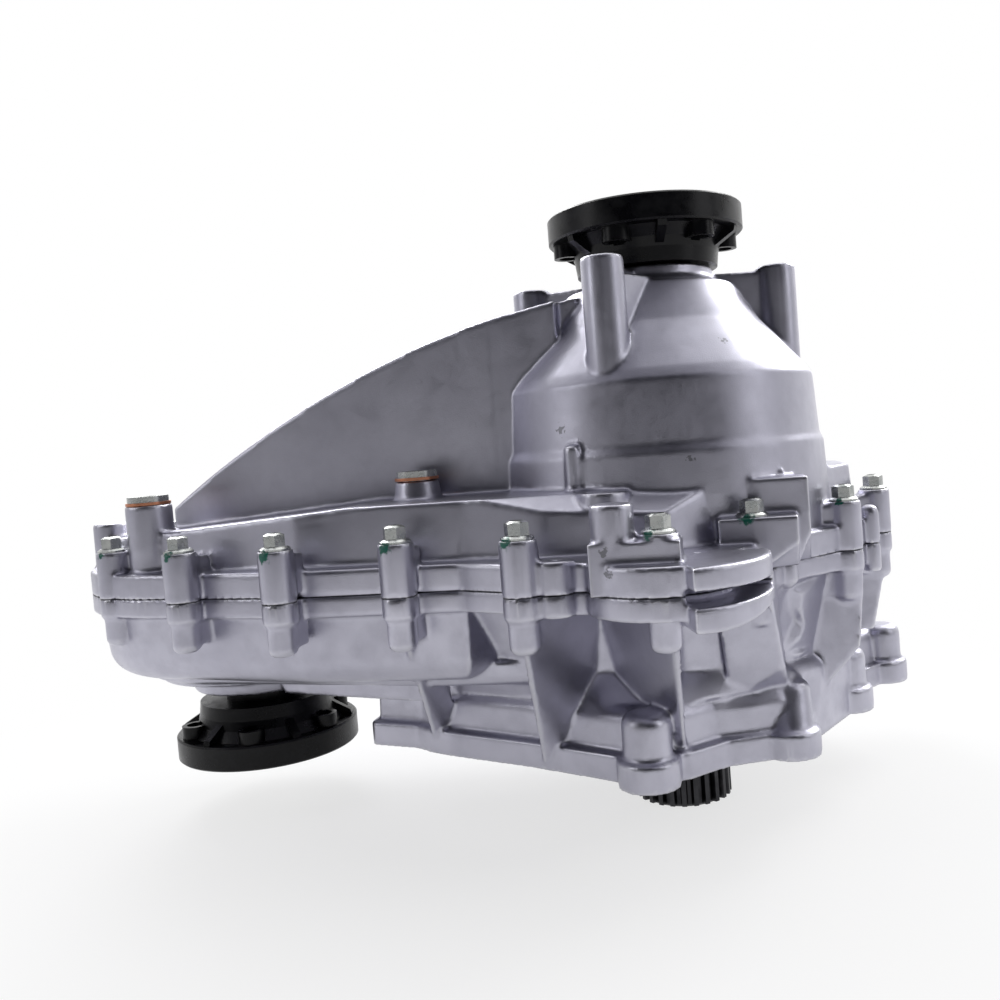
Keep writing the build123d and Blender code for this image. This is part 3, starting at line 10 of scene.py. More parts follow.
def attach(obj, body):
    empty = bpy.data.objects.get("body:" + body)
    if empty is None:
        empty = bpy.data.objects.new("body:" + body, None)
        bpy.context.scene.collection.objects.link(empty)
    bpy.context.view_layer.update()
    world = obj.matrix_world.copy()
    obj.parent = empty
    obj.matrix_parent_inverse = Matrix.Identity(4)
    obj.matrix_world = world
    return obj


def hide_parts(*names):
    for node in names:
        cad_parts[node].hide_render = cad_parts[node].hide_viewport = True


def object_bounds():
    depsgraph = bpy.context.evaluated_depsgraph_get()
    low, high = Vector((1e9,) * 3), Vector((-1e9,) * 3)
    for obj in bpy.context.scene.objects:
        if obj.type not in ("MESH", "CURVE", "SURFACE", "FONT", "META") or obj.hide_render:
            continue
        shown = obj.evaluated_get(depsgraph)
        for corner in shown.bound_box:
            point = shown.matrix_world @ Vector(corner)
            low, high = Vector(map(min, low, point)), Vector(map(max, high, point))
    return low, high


# The transfer case as photographed: it stands on its gearbox side, on a white ground under soft studio light.
# Lengths are in metres.

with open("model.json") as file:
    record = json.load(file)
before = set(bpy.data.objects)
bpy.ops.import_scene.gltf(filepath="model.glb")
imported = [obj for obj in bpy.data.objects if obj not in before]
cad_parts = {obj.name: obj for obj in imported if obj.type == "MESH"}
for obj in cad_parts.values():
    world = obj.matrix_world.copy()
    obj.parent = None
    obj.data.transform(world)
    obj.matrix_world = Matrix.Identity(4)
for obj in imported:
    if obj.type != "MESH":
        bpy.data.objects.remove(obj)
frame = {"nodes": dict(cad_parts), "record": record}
nodes = frame["nodes"]
mounts = {mount["name"]: mount for mount in frame["record"]["mounts"]}
cad_low, cad_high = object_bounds()

scene = bpy.context.scene
FLOOR_Z = cad_low.z - 0.0002

# Mesh of the castings
VOXEL = 0.0012
JOINED = 1e-6
SMOOTH_FACTOR = 0.5
SMOOTH_PASSES = 9
MACHINED_REACH = 0.4 * VOXEL
MACHINED_HOLD = 0.15
TRIANGLES = 180_000

# Machined planes
GEARBOX_Z = 0.0
SEAM_Z = 0.102
BOLT_SEAT_Z = 0.129
NECK_TOP_Z = mounts["cone_bosses_x"]["pos_m"][2]

# Near flank of the fin. Its top edge is a curve through three places, each given as X and height, and it
# takes a share of that curve from the left. Its front stands out more and more as far as the root.
FIN_LEFT = (-0.301, 0.150)
FIN_MID = (-0.170, 0.2205)
FIN_RIGHT = (-0.038, 0.254)
FIN_SHARE = 0.85
FIN_STEPS = 40
FIN_FRONT_Y = -0.041
FIN_BACK_Y = -0.037
FIN_ROOT_T = 0.008
FIN_ROOT_X = -0.080
FIN_FOOT_Z = 0.142
FIN_BREAK_X = -0.160
FIN_FOOT_SLOPE = 0.072

# Webs behind the cone's bosses. The near one leans: each row has its height, outer end and inner end. The
# others run between two shares of the way from the axis to the boss.
NEAR_WEB = [
    (0.222, (-0.0145, -0.073), (-0.009, -0.066)),
    (0.261, (-0.0140, -0.072), (0.003, -0.044)),
]
NEAR_WEB_T = 0.006
BOSS_WEB_Z = (0.2535, 0.2660)
BOSS_WEB_T = 0.008
BOSS_WEB_INNER = 0.47
BOSS_WEB_OUTER = 0.92

# Lower corners of two blocks of the cover, each with the height to which it is lifted
BLOCK_CORNERS = [((0.0725, -0.102, 0.102), 0.1155), ((0.0795, -0.083, 0.102), 0.1175)]
CORNER_REACH = 0.001

# Right web of the bell: where its foot is in the plain casting, and the height to which it is lifted
WEB_MIN_X = 0.100
WEB_Y = (-0.037, -0.029)
PLAIN_FOOT_Z = 0.026
WEB_FOOT_Z = 0.048

# Second near lug, which is set back above its pad
LUG = (0.063, -0.066)
LUG_REACH = 0.013
LUG_PAD_Z = 0.0145
LUG_SET_BACK = 0.0095

# Boss round the near dowel, as heights and radii
DOWEL = (0.066, -0.070)
DOWEL_BOSS = [(0.088, 0.0030), (0.092, 0.0066), (0.102, 0.0066)]

# Swelling behind the near lugs: its plan, and how far the plan shrinks at each height
SWELLING = [
    (0.008, -0.090),
    (0.028, -0.085),
    (0.046, -0.0785),
    (0.060, -0.072),
    (0.070, -0.063),
    (0.075, -0.050),
    (0.060, -0.044),
    (0.020, -0.064),
]
SWELLING_LEVELS = [(0.012, 0.0), (0.029, 0.0), (0.033, 0.0025), (0.042, 0.009)]

# Lower arc plate, which is thinner toward its right end. Turns round its middle are in degrees from +X.
ARC_CENTRE = (0.008, -0.128)
ARC_TOP_Z = 0.1015
ARC_LOW_Z = 0.080
ARC_INNER = (0.030, 0.037)
ARC_OUTER = 0.055
ARC_GROWS = (-60, 0)
ARC_FADES = (20, 40)
ARC_THINNING = 0.5

# Turned stretches of the castings, each as its axis, whether only the side away from the cone is round, and
# its profile of heights and radii. A point counts where it lies near the profile and faces outward.
FACET_SHRINK = 0.0125
ROUND_REACH = 0.0003
OUTWARD = 0.5
REAR_AXIS = tuple(mounts["rear_flange_bolts"]["pos_m"][:2])
FRONT_AXIS = tuple(mounts["front_flange_bolts"]["pos_m"][:2])
TURNED = {
    "drum": (REAR_AXIS, False, [
        (0.118, 0.096), (0.141, 0.096), (0.164, 0.095), (0.168, 0.093), (0.202, 0.091), (0.208, 0.087),
        (0.235, 0.064), (0.258, 0.049), (0.260, 0.041), (0.263, 0.038), (NECK_TOP_Z, 0.038),
    ]),
    "deck_end": (FRONT_AXIS, True, [(0.117, 0.0870), (0.147, 0.0849)]),
    "flange_end": (FRONT_AXIS, True, [(0.091, 0.098), (0.116, 0.098)]),
    "belly_end": (FRONT_AXIS, True, [(0.067, 0.0913), (0.091, 0.0929)]),
}

# Dabs of green paint at the front of the bolt seats, as X, Y, Z and radius
PAINT_DABS = [
    (-0.3205, -0.0905, 0.1285, 0.0040),
    (-0.2580, -0.1195, 0.1285, 0.0045),
    (-0.1925, -0.1375, 0.1270, 0.0050),
    (-0.1290, -0.1345, 0.1275, 0.0050),
    (-0.0640, -0.1505, 0.1290, 0.0055),
    (0.0030, -0.1560, 0.1300, 0.0055),
    (0.0475, -0.1020, 0.1290, 0.0050),
    (0.0975, -0.0395, 0.1295, 0.0030),
]
PAINT_RAGGED = 0.006

# Dark scuffs on the castings, as X, Y, Z and radius
SCUFFS = [
    (-0.0330, -0.1200, 0.1295, 0.0030),
    (-0.0312, -0.1195, 0.1245, 0.0026),
    (-0.0172, -0.1560, 0.1225, 0.0028),
    (-0.0138, -0.1565, 0.1125, 0.0034),
    (0.0156, -0.1560, 0.1150, 0.0028),
    (0.0421, -0.0644, 0.2201, 0.0024),
    (-0.0450, -0.0808, 0.1790, 0.0030),
    (0.0219, -0.0929, 0.1592, 0.0020),
]
SCUFF_RAGGED = 0.012

# Camera, fitted to the flange circles and the cylinder in the photograph. The focal length is in widths of
# the picture, and the centre is the place in the picture straight ahead of the lens.
CAMERA_PLACE = Vector((0.04468, -0.58064, 0.174))
HEADING = math.radians(11.35)
PITCH = 0.0434
ROLL = math.radians(4.41)
FOCAL = 0.957989
CENTRE = (0.545344, 0.483312)
SENSOR = 36.0


# Node helpers
class Tree:
    """Adds nodes to a material's or world's tree and links them as it goes."""

    def __init__(self, tree):
        self.tree = tree
        tree.nodes.clear()

    def add(self, kind, inputs=None, out=0, **settings):
        """Adds a node, sets or links its inputs, and gives one of its outputs."""
        made = self.tree.nodes.new("ShaderNode" + kind)
        for key, value in settings.items():
            setattr(made, key, value)
        for key, value in (inputs or {}).items():
            self.feed(made.inputs[key], value)
        return made.outputs[out]

    def feed(self, socket, value):
        """Links an output to a socket, or sets the socket to a plain value."""
        if isinstance(value, bpy.types.NodeSocket):
            self.tree.links.new(value, socket)
        else:
            socket.default_value = value

    def math(self, operation, a, b=0.0):
        return self.add("Math", {0: a, 1: b}, operation=operation)

    def noise(self, where, scale, detail, rough=0.5):
        return self.add("TexNoise", {"Vector": where, "Scale": scale, "Detail": detail, "Roughness": rough})

    def span(self, value, low, high, to_low=0.0, to_high=1.0):
        """Maps a value from one range to another, and clamps it."""
        return self.add("MapRange", {0: value, 1: low, 2: high, 3: to_low, 4: to_high})

    def blend(self, share, a, b):
        """A colour between a and b."""
        made = self.tree.nodes.new("ShaderNodeMix")
        made.data_type = "RGBA"
        self.feed(made.inputs[0], share)
        self.feed(made.inputs[6], a)
        self.feed(made.inputs[7], b)
        return made.outputs[2]

    def pointiness(self, low, high, to_high):
        """How far a place stands out, or with low above high how far it lies in a hollow."""
        return self.span(self.add("NewGeometry", out="Pointiness"), low, high, 0.0, to_high)

    def distance(self, where, place):
        return self.add("VectorMath", {0: where, 1: place}, out="Value", operation="DISTANCE")

    def bump(self, height, strength, distance):
        return self.add("Bump", {"Height": height, "Strength": strength, "Distance": distance})

    def surface(self, colour, roughness, bump, metal=0.0, specular=0.5):
        """Ends a material's tree in one surface."""
        sockets = {"Base Color": colour, "Roughness": roughness, "Normal": bump}
        sockets.update({"Metallic": metal, "Specular IOR Level": specular})
        self.finish(self.add("BsdfPrincipled", sockets))

    def finish(self, shader, target="OutputMaterial"):
        made = self.tree.nodes.new("ShaderNode" + target)
        self.tree.links.new(shader, made.inputs["Surface"])


def rgb(red, green, blue):
    return (red, green, blue, 1.0)


def new_material(name):
    made = bpy.data.materials.new(name)
    made.use_nodes = True
    return made, Tree(made.node_tree)


def dress(thing, material):
    thing.data.materials.clear()
    thing.data.materials.append(material)


# Finishes
PAINT = rgb(0.006, 0.13, 0.09)
SCUFF_TONE = rgb(0.16, 0.16, 0.17)
SEAM_TONE = rgb(0.05, 0.05, 0.055)
CAST_DARK = rgb(0.46, 0.455, 0.53)
CAST_LIGHT = rgb(0.55, 0.545, 0.625)
CAST_PATCH = rgb(0.39, 0.385, 0.45)
# Tone of the edges: partly wear, partly a painted highlight
CAST_EDGE_WEAR_AND_HIGHLIGHT = rgb(0.76, 0.76, 0.79)
# Painted shade in the hollows
CAST_HOLLOW_SHADE = rgb(0.27, 0.27, 0.30)
CAST_METAL = 0.98


def spots(tree, where, places, ragged):
    """A mask of ragged spots round some places."""
    rough = tree.noise(where, 420.0, 2.0)
    rough = tree.math("MULTIPLY", tree.math("SUBTRACT", rough, 0.5), ragged)
    mask = None
    for x, y, z, radius in places:
        far = tree.math("ADD", tree.distance(where, (x, y, z)), rough)
        inside = tree.span(far, radius * 0.8, radius * 0.55)
        mask = inside if mask is None else tree.math("MAXIMUM", mask, inside)
    return mask


def cast_colour(tree, where, patch, edge_wear_and_highlight):
    """Faint mottling, edges lighter partly from wear and partly as a painted highlight, painted shade in the
    hollows, and dark scuffs.
    """
    broad = tree.noise(where, 14.0, 4.0, 0.6)
    colour = tree.blend(tree.span(broad, 0.35, 0.68), CAST_DARK, CAST_LIGHT)
    colour = tree.blend(tree.span(patch, 0.45, 0.75, 0.0, 0.35), colour, CAST_PATCH)
    # Edges lighter, partly from wear and partly as a painted highlight
    colour = tree.blend(edge_wear_and_highlight, colour, CAST_EDGE_WEAR_AND_HIGHLIGHT)
    # Painted shade: the hollows are darker
    colour = tree.blend(tree.pointiness(0.485, 0.44, 0.55), colour, CAST_HOLLOW_SHADE)
    scuffed = tree.math("MULTIPLY", spots(tree, where, SCUFFS, SCUFF_RAGGED), 0.75)
    return tree.blend(scuffed, colour, SCUFF_TONE)


def seam_mask(tree, where, patch):
    """The uneven dark line where the two castings meet."""
    height = tree.add("SeparateXYZ", {0: where}, out="Z")
    off_seam = tree.math("ABSOLUTE", tree.math("SUBTRACT", height, SEAM_Z))
    return tree.math("MULTIPLY", tree.span(off_seam, 0.0007, 0.0002), tree.span(patch, 0.3, 0.6, 0.45, 0.95))


def cast_aluminium():
    """Shot-blasted die casting with fine grain, a dark seam and dabs of paint."""
    made, tree = new_material("cast_aluminium")
    where = tree.add("TexCoord", out="Object")
    patch = tree.noise(where, 70.0, 5.0, 0.65)
    grain = tree.noise(where, 1500.0, 2.0, 0.7)
    # Mask of the edges that are lighter, partly from wear and partly as a painted highlight
    edge_wear_and_highlight = tree.math("MULTIPLY", tree.pointiness(0.515, 0.56, 0.75), tree.span(patch, 0.3, 0.6, 0.35, 1.0))
    colour = cast_colour(tree, where, patch, edge_wear_and_highlight)
    colour = tree.blend(seam_mask(tree, where, patch), colour, SEAM_TONE)
    painted = spots(tree, where, PAINT_DABS, PAINT_RAGGED)
    colour = tree.blend(painted, colour, PAINT)
    roughness = tree.span(patch, 0.3, 0.7, 0.31, 0.43)
    roughness = tree.math("SUBTRACT", roughness, tree.math("MULTIPLY", edge_wear_and_highlight, 0.10))
    metal = tree.math("SUBTRACT", CAST_METAL, tree.math("MULTIPLY", painted, CAST_METAL))
    pitted = tree.math("ADD", tree.math("MULTIPLY", grain, 0.6), tree.math("MULTIPLY", patch, 0.4))
    tree.surface(colour, roughness, tree.bump(pitted, 0.35, 0.00035), metal)
    return made


def plain_metal(name, dark, light, rough_low, rough_high, painted=False):
    """A metal with mottled colour, varied roughness, fine bump, and edges lighter partly from wear and partly
    as a painted highlight.
    """
    made, tree = new_material(name)
    where = tree.add("TexCoord", out="Object")
    patch = tree.noise(where, 160.0, 4.0, 0.6)
    fine = tree.noise(where, 900.0, 2.0, 0.6)
    # Colour of the edges: partly wear, partly a painted highlight
    edge_wear_and_highlight = rgb(*[min(0.9, 1.35 * value + 0.02) for value in light[:3]])
    colour = tree.blend(tree.span(patch, 0.35, 0.7), dark, light)
    colour = tree.blend(tree.pointiness(0.52, 0.60, 0.4), colour, edge_wear_and_highlight)
    roughness = tree.span(patch, 0.3, 0.7, rough_low, rough_high)
    metal = 1.0
    if painted:
        mask = spots(tree, where, PAINT_DABS, PAINT_RAGGED)
        colour = tree.blend(mask, colour, PAINT)
        metal = tree.math("SUBTRACT", 1.0, mask)
    tree.surface(colour, roughness, tree.bump(fine, 0.3, 0.00012), metal)
    return made


def coated(name, dark, light, worn_edge_and_highlight, rough_low, rough_high):
    """A satin coating over metal or a moulded surface, with edges lighter partly from wear and partly as a
    painted highlight.
    """
    made, tree = new_material(name)
    where = tree.add("TexCoord", out="Object")
    patch = tree.noise(where, 90.0, 5.0, 0.6)
    fine = tree.noise(where, 1100.0, 2.0, 0.6)
    # Edges lighter, partly from wear and partly as a painted highlight
    edge_wear_and_highlight = tree.math("MULTIPLY", tree.pointiness(0.53, 0.62, 0.5), tree.span(patch, 0.4, 0.6))
    colour = tree.blend(tree.span(patch, 0.35, 0.7), dark, light)
    colour = tree.blend(edge_wear_and_highlight, colour, worn_edge_and_highlight)
    roughness = tree.span(patch, 0.3, 0.7, rough_low, rough_high)
    tree.surface(colour, roughness, tree.bump(fine, 0.25, 0.0002), specular=0.22)
    return made


CAST = cast_aluminium()
ZINC = plain_metal("zinc_steel", rgb(0.36, 0.38, 0.375), rgb(0.56, 0.57, 0.55), 0.20, 0.34, painted=True)
COPPER = plain_metal("copper", rgb(0.42, 0.17, 0.10), rgb(0.60, 0.27, 0.16), 0.28, 0.42)
STEEL = plain_metal("machined_steel", rgb(0.36, 0.36, 0.37), rgb(0.50, 0.50, 0.51), 0.22, 0.34)
SPLINE = plain_metal("dark_spline", rgb(0.030, 0.030, 0.033), rgb(0.065, 0.065, 0.07), 0.30, 0.42)
BLACK = coated(
    "black_coating", rgb(0.002, 0.002, 0.003), rgb(0.005, 0.005, 0.006), rgb(0.03, 0.03, 0.032), 0.24, 0.38
)
RUBBER = coated(
    "seal_rubber", rgb(0.020, 0.011, 0.009), rgb(0.034, 0.018, 0.014), rgb(0.05, 0.03, 0.025), 0.5, 0.65
)
FERRITE = coated(
    "ferrite", rgb(0.03, 0.03, 0.032), rgb(0.05, 0.05, 0.052), rgb(0.09, 0.09, 0.09), 0.5, 0.6
)

FINISHES = {
    "cast_aluminium": CAST,
    "zinc_steel": ZINC,
    "copper": COPPER,
    "machined_steel": STEEL,
    "black_steel": BLACK,
    "seal_rubber": RUBBER,
    "magnet": FERRITE,
}

for part in frame["record"]["subparts"]:
    dress(nodes[part["node"]], FINISHES[part["material_slot"]])
dress(nodes["input_shaft"], SPLINE)


# Forms of the moulded castings
def add_loft(shape, rings):
    """Adds a closed solid through rings of the same number of places."""
    rings = [[shape.verts.new(place) for place in ring] for ring in rings]
    shape.faces.new(rings[0][::-1])
    shape.faces.new(rings[-1])
    for low, high in zip(rings, rings[1:]):
        for index in range(len(low)):
            after = (index + 1) % len(low)
            shape.faces.new((low[index], low[after], high[after], high[index]))


def add_stack(shape, layers):
    """Adds a closed solid through plan outlines at rising heights."""
    add_loft(shape, [[(x, y, height) for x, y in plan] for height, plan in layers])


def shrunk(plan, amount):
    """A plan outline with each corner moved toward its middle."""
    corners = [Vector(point) for point in plan]
    middle = sum(corners, Vector((0, 0))) / len(corners)
    return [tuple(corner + (middle - corner).normalized() * amount) for corner in corners]


def bar_plan(start, end, thickness):
    """The plan of an upright web between two places."""
    start, end = Vector(start), Vector(end)
    side = Vector((start.y - end.y, end.x - start.x)).normalized() * thickness / 2
    return [tuple(start + side), tuple(start - side), tuple(end - side), tuple(end + side)]


def circle_plan(middle, radius, count=20):
    """The plan of a round boss."""
    turns = [2 * math.pi * step / count for step in range(count)]
    return [(middle[0] + radius * math.cos(turn), middle[1] + radius * math.sin(turn)) for turn in turns]


def fin_top(share):
    """A place on the curve of the fin's top edge, as X and height."""
    left, middle, right = Vector(FIN_LEFT), Vector(FIN_MID), Vector(FIN_RIGHT)
    left_weight = (1 - share) * (1 - 2 * share)
    middle_weight = 4 * share * (1 - share)
    right_weight = share * (2 * share - 1)
    return left * left_weight + middle * middle_weight + right * right_weight


def fin_ring(step):
    """The upright section of the fin's near flank at one step along it."""
    x, top = fin_top(FIN_SHARE * step / FIN_STEPS)
    growth = min(1.0, (x - FIN_LEFT[0]) / (FIN_ROOT_X - FIN_LEFT[0]))
    front = FIN_FRONT_Y - FIN_ROOT_T * growth
    foot = FIN_FOOT_Z - max(0.0, FIN_BREAK_X - x) * FIN_FOOT_SLOPE
    return [(x, front, foot), (x, FIN_BACK_Y, foot), (x, FIN_BACK_Y, top), (x, front, top)]


def cone_bosses():
    """The plan places of the four bosses on the cone, from the mounts that they carry."""
    along = mounts["cone_bosses_x"]
    across = mounts["cone_bosses_y"]
    reach_x = along["dims"]["spacing_x_mm"] / 2000
    reach_y = across["dims"]["spacing_y_mm"] / 2000
    row_y = along["pos_m"][1]
    row_x = across["pos_m"][0]
    return [(row_x, -reach_y), (reach_x, row_y), (-reach_x, row_y), (row_x, reach_y)]


def shape_cover(shape):
    """Gives the cover the fin's flank, the webs behind the cone's bosses and the short blocks."""
    add_loft(shape, [fin_ring(step) for step in range(FIN_STEPS + 1)])
    add_stack(shape, [(height, bar_plan(outer, inner, NEAR_WEB_T)) for height, outer, inner in NEAR_WEB])
    for x, y in cone_bosses():
        inner = (x * BOSS_WEB_INNER, y * BOSS_WEB_INNER)
        outer = (x * BOSS_WEB_OUTER, y * BOSS_WEB_OUTER)
        add_stack(shape, [(height, bar_plan(inner, outer, BOSS_WEB_T)) for height in BOSS_WEB_Z])
    for corner, lifted in BLOCK_CORNERS:
        for vertex in shape.verts:
            if (vertex.co - Vector(corner)).length < CORNER_REACH:
                vertex.co.z = lifted


def is_web_foot(place):
    """Whether a point belongs to the foot of the bell's right web."""
    at_web = place.x > WEB_MIN_X and WEB_Y[0] < place.y < WEB_Y[1]
    return at_web and abs(place.z - PLAIN_FOOT_Z) < CORNER_REACH


def shape_case(shape):
    """Gives the case the short web, the set-back lug, the dowel's boss and the swelling."""
    for vertex in shape.verts:
        if is_web_foot(vertex.co):
            vertex.co.z = WEB_FOOT_Z
        from_lug = math.hypot(vertex.co.x - LUG[0], vertex.co.y - LUG[1])
        if from_lug < LUG_REACH and vertex.co.z > LUG_PAD_Z:
            vertex.co.y += LUG_SET_BACK
    add_stack(shape, [(height, circle_plan(DOWEL, radius)) for height, radius in DOWEL_BOSS])
    add_stack(shape, [(height, shrunk(SWELLING, amount)) for height, amount in SWELLING_LEVELS])


# Meshing of the castings
def mesh_points(mesh):
    points = np.empty(3 * len(mesh.vertices))
    mesh.vertices.foreach_get("co", points)
    return points.reshape(-1, 3)


def move_points(mesh, points):
    mesh.vertices.foreach_set("co", points.ravel())


def plan_normals(mesh):
    """The X and Y of the normal at each point."""
    normals = np.empty(3 * len(mesh.vertices))
    mesh.vertices.foreach_get("normal", normals)
    return normals.reshape(-1, 3)[:, :2]


def edit(mesh, change):
    """Lets a function change the points and faces of a mesh."""
    shape = bmesh.new()
    shape.from_mesh(mesh)
    change(shape)
    shape.to_mesh(mesh)
    shape.free()


def join_doubles(shape):
    bmesh.ops.remove_doubles(shape, verts=shape.verts, dist=JOINED)


def smooth_step(values, low, high):
    share = np.clip((values - low) / (high - low), 0.0, 1.0)
    return share * share * (3 - 2 * share)


def thin_arc_plate(mesh):
    """Lets the lower arc plate grow thinner toward its right end."""
    points = mesh_points(mesh)
    heights = points[:, 2]
    offset = points[:, :2] - np.array(ARC_CENTRE)
    far = np.hypot(offset[:, 0], offset[:, 1])
    turn = np.degrees(np.arctan2(offset[:, 1], offset[:, 0]))
    share = smooth_step(far, *ARC_INNER) * smooth_step(turn, *ARC_GROWS) * (1 - smooth_step(turn, *ARC_FADES))
    share *= (heights > ARC_LOW_Z) & (heights < ARC_TOP_Z) & (far < ARC_OUTER)
    points[:, 2] = ARC_TOP_Z - (ARC_TOP_Z - heights) * (1 - ARC_THINNING * share)
    move_points(mesh, points)


def hold_machined(piece, planes):
    """Lets the points on the machined planes move only a little in the smoothing."""
    heights = mesh_points(piece.data)[:, 2]
    held = np.zeros(len(heights), dtype=bool)
    for plane in planes:
        held |= np.abs(heights - plane) < MACHINED_REACH
    group = piece.vertex_groups.new(name="free")
    group.add(np.flatnonzero(~held).tolist(), 1.0, "REPLACE")
    group.add(np.flatnonzero(held).tolist(), MACHINED_HOLD, "REPLACE")


def true_up(mesh, names):
    """Moves the points of flat facets out to the circle that a turned surface has."""
    points = mesh_points(mesh)
    normals = plan_normals(mesh)
    for name in names:
        axis, end_only, profile = TURNED[name]
        heights, radii = zip(*profile)
        offset = points[:, :2] - np.array(axis)
        far = np.hypot(offset[:, 0], offset[:, 1])
        wanted = np.interp(points[:, 2], heights, radii)
        near = (points[:, 2] > heights[0]) & (points[:, 2] < heights[-1])
        near &= (far > wanted * (1 - FACET_SHRINK) - ROUND_REACH) & (far < wanted + ROUND_REACH)
        near &= (normals * offset).sum(axis=1) > OUTWARD * far
        if end_only:
            near &= offset[:, 0] < 0
        points[near, :2] = np.array(axis) + offset[near] * (wanted[near] / far[near])[:, None]
    move_points(mesh, points)


def islands(shape):
    """Groups of points joined by edges, the largest last."""
    left = set(shape.verts)
    groups = []
    for start in shape.verts:
        if start not in left:
            continue
        left.remove(start)
        group = [start]
        for vertex in group:
            for edge in vertex.link_edges:
                other = edge.other_vert(vertex)
                if other in left:
                    left.remove(other)
                    group.append(other)
        groups.append(group)
    return sorted(groups, key=len)


def drop_strays(shape):
    """Deletes the specks that the thinning leaves beside the casting."""
    for group in islands(shape)[:-1]:
        bmesh.ops.delete(shape, geom=group, context="VERTS")


def keep_within(mesh, plain):
    """Holds the casting's points inside the box of the plain one."""
    limits = mesh_points(plain)
    move_points(mesh, np.clip(mesh_points(mesh), limits.min(axis=0), limits.max(axis=0)))


def apply_all(piece):
    """Replaces the piece's mesh with what its modifiers make of it."""
    graph = bpy.context.evaluated_depsgraph_get()
    made = bpy.data.meshes.new_from_object(piece.evaluated_get(graph))
    piece.modifiers.clear()
    piece.data = made


def reskin(piece):
    """Meshes the piece anew as one closed skin of small squares."""
    remesh = piece.modifiers.new("skin", "REMESH")
    remesh.mode = "VOXEL"
    remesh.voxel_size = VOXEL
    apply_all(piece)


def round_and_thin(piece):
    """Rounds the edges of the skin, then leaves the triangles that the form needs."""
    smooth = piece.modifiers.new("round", "SMOOTH")
    smooth.factor = SMOOTH_FACTOR
    smooth.iterations = SMOOTH_PASSES
    smooth.vertex_group = "free"
    thin = piece.modifiers.new("thin", "DECIMATE")
    thin.ratio = min(1.0, TRIANGLES / (2.0 * len(piece.data.polygons)))
    apply_all(piece)
    piece.vertex_groups.clear()


def moulded(node, name, planes, turned, reshape):
    """A finely meshed copy of a casting with rounded edges and corners, in place of its node."""
    plain = nodes[node].data
    piece = bpy.data.objects.new(name, plain.copy())
    scene.collection.objects.link(piece)
    edit(piece.data, join_doubles)
    edit(piece.data, reshape)
    reskin(piece)
    true_up(piece.data, turned)
    hold_machined(piece, planes)
    round_and_thin(piece)
    edit(piece.data, drop_strays)
    keep_within(piece.data, plain)
    for face in piece.data.polygons:
        face.use_smooth = True
    dress(piece, CAST)
    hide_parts(node)
    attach(piece, "housing")
    return piece


COVER_PLANES = (SEAM_Z, BOLT_SEAT_Z, NECK_TOP_Z)
CASE_PLANES = (GEARBOX_Z, SEAM_Z)
moulded("cover_housing", "cover_casting", COVER_PLANES, ["drum", "deck_end", "flange_end"], shape_cover)
case = moulded("case_housing", "case_casting", CASE_PLANES, ["flange_end", "belly_end"], shape_case)
thin_arc_plate(case.data)

# Ground, light and world
GROUND_MIDDLE = (-0.12, 0.0, 0.0)
PALE = rgb(0.90, 0.90, 0.91)
WHITE = rgb(1, 1, 1)
COOL = rgb(0.85, 0.84, 1.0)


def ground():
    """A pale floor that keeps the shadow and turns white away from the object."""
    bpy.ops.mesh.primitive_plane_add(size=12.0, location=(0, 0, FLOOR_Z))
    floor = bpy.context.object
    floor.name = "floor"
    made, tree = new_material("floor")
    far = tree.distance(tree.add("TexCoord", out="Object"), GROUND_MIDDLE)
    camera_ray = tree.add("LightPath", out="Is Camera Ray")
    glossy_ray = tree.add("LightPath", out="Is Glossy Ray")
    seen = tree.math("MULTIPLY", tree.span(far, 0.10, 0.50, 0.70, 1.0), camera_ray)
    white = tree.math("MAXIMUM", seen, tree.math("MULTIPLY", glossy_ray, 0.55))
    pale = tree.add("BsdfDiffuse", {"Color": PALE})
    glow = tree.add("Emission", {"Color": WHITE, "Strength": 1.0})
    tree.finish(tree.add("MixShader", {0: white, 1: pale, 2: glow}))
    dress(floor, made)


def lamp(name, place, aim, size, power):
    """A soft rectangular lamp at a place, turned toward its aim."""
    data = bpy.data.lights.new(name, "AREA")
    data.shape = "RECTANGLE"
    data.size, data.size_y = size
    data.energy = power
    made = bpy.data.objects.new(name, data)
    scene.collection.objects.link(made)
    made.location = place
    made.rotation_euler = (Vector(aim) - Vector(place)).to_track_quat("-Z", "Y").to_euler()


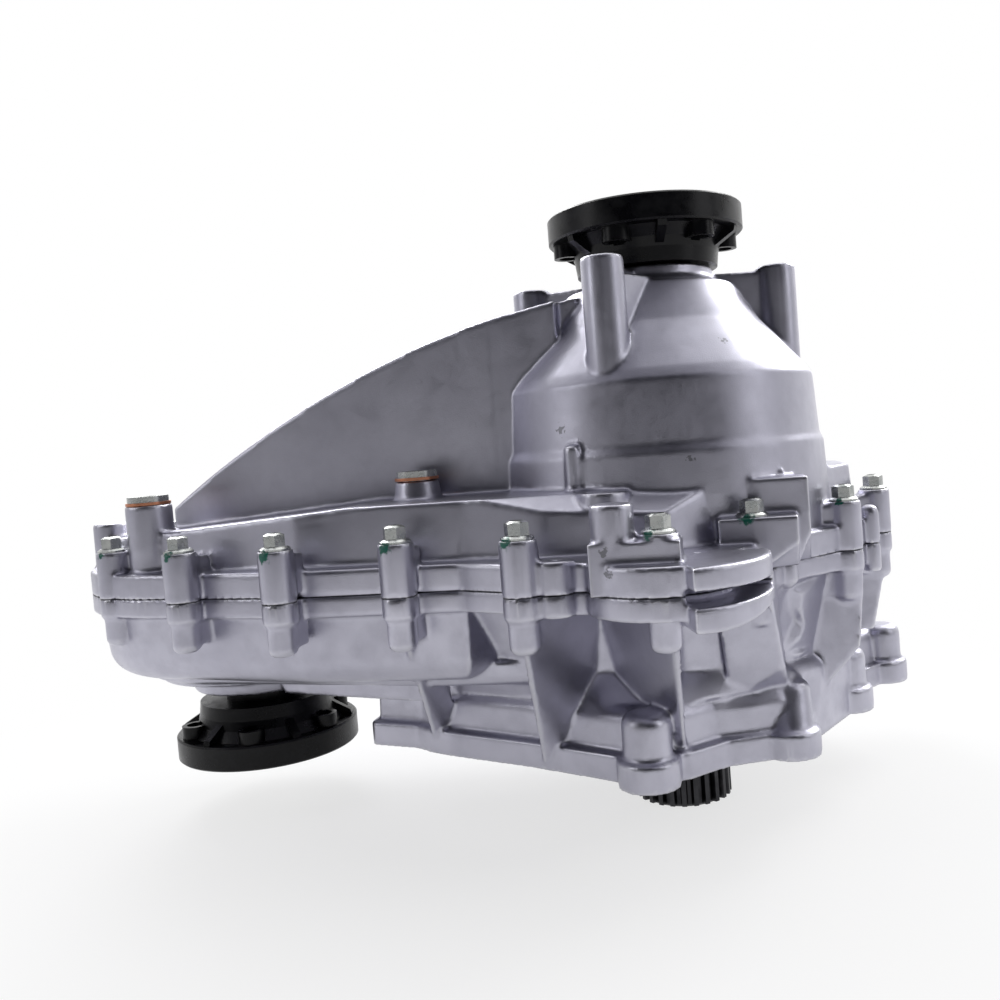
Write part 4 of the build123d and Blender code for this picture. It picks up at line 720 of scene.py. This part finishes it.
def studio():
    """A white background, and for the object a room that is darker and cooler on the near side."""
    world = bpy.data.worlds.new("studio")
    scene.world = world
    world.use_nodes = True
    tree = Tree(world.node_tree)
    way = tree.add("SeparateXYZ", {0: tree.add("TexCoord", out="Generated")}, out="Y")
    room = tree.span(way, -0.6, 0.9, 0.03, 1.15)
    camera_ray = tree.add("LightPath", out="Is Camera Ray")
    clear_ray = tree.add("LightPath", out="Is Transmission Ray")
    glossy_ray = tree.add("LightPath", out="Is Glossy Ray")
    plain = tree.math("MAXIMUM", camera_ray, clear_ray)
    soft = tree.math("MULTIPLY", room, tree.span(glossy_ray, 0.0, 1.0, 0.6, 1.0))
    strength = tree.add("Mix", {0: plain, 2: soft, 3: 1.0}, data_type="FLOAT")
    tone = tree.blend(tree.math("MAXIMUM", plain, tree.span(room, 0.1, 0.7)), COOL, WHITE)
    tree.finish(tree.add("Background", {"Color": tone, "Strength": strength}), "OutputWorld")


ground()
lamp("top", (-0.10, 0.30, 1.50), (-0.10, 0.0, 0.10), (1.5, 0.8), 3.5)
lamp("left", (-1.30, -0.70, 0.80), (-0.12, 0.0, 0.12), (0.45, 1.0), 2.8)
lamp("right", (1.20, -0.35, 0.70), (0.0, 0.0, 0.14), (0.45, 1.0), 1.8)
lamp("back_left", (-1.10, 1.10, 1.35), (-0.05, 0.0, 0.20), (0.9, 0.9), 22.0)
lamp("back_right", (1.05, 1.20, 1.30), (0.0, 0.0, 0.20), (0.9, 0.9), 22.0)
studio()


def aim_camera():
    """The camera of the photograph, with a little roll and shift."""
    level_ahead = math.cos(PITCH)
    ahead = Vector((-math.sin(HEADING) * level_ahead, math.cos(HEADING) * level_ahead, -math.sin(PITCH)))
    level = ahead.cross(Vector((0, 0, 1))).normalized()
    upright = level.cross(ahead)
    right = level * math.cos(ROLL) - upright * math.sin(ROLL)
    above = level * math.sin(ROLL) + upright * math.cos(ROLL)
    data = bpy.data.cameras.new("camera")
    data.sensor_width = SENSOR
    data.lens = FOCAL * SENSOR
    data.shift_x = 0.5 - CENTRE[0]
    data.shift_y = CENTRE[1] - 0.5
    data.clip_start = 0.01
    camera = bpy.data.objects.new("camera", data)
    scene.collection.objects.link(camera)
    turn = Matrix((right, above, -ahead)).transposed()
    camera.matrix_world = Matrix.Translation(CAMERA_PLACE) @ turn.to_4x4()
    scene.camera = camera


aim_camera()
scene.view_settings.view_transform = "Standard"
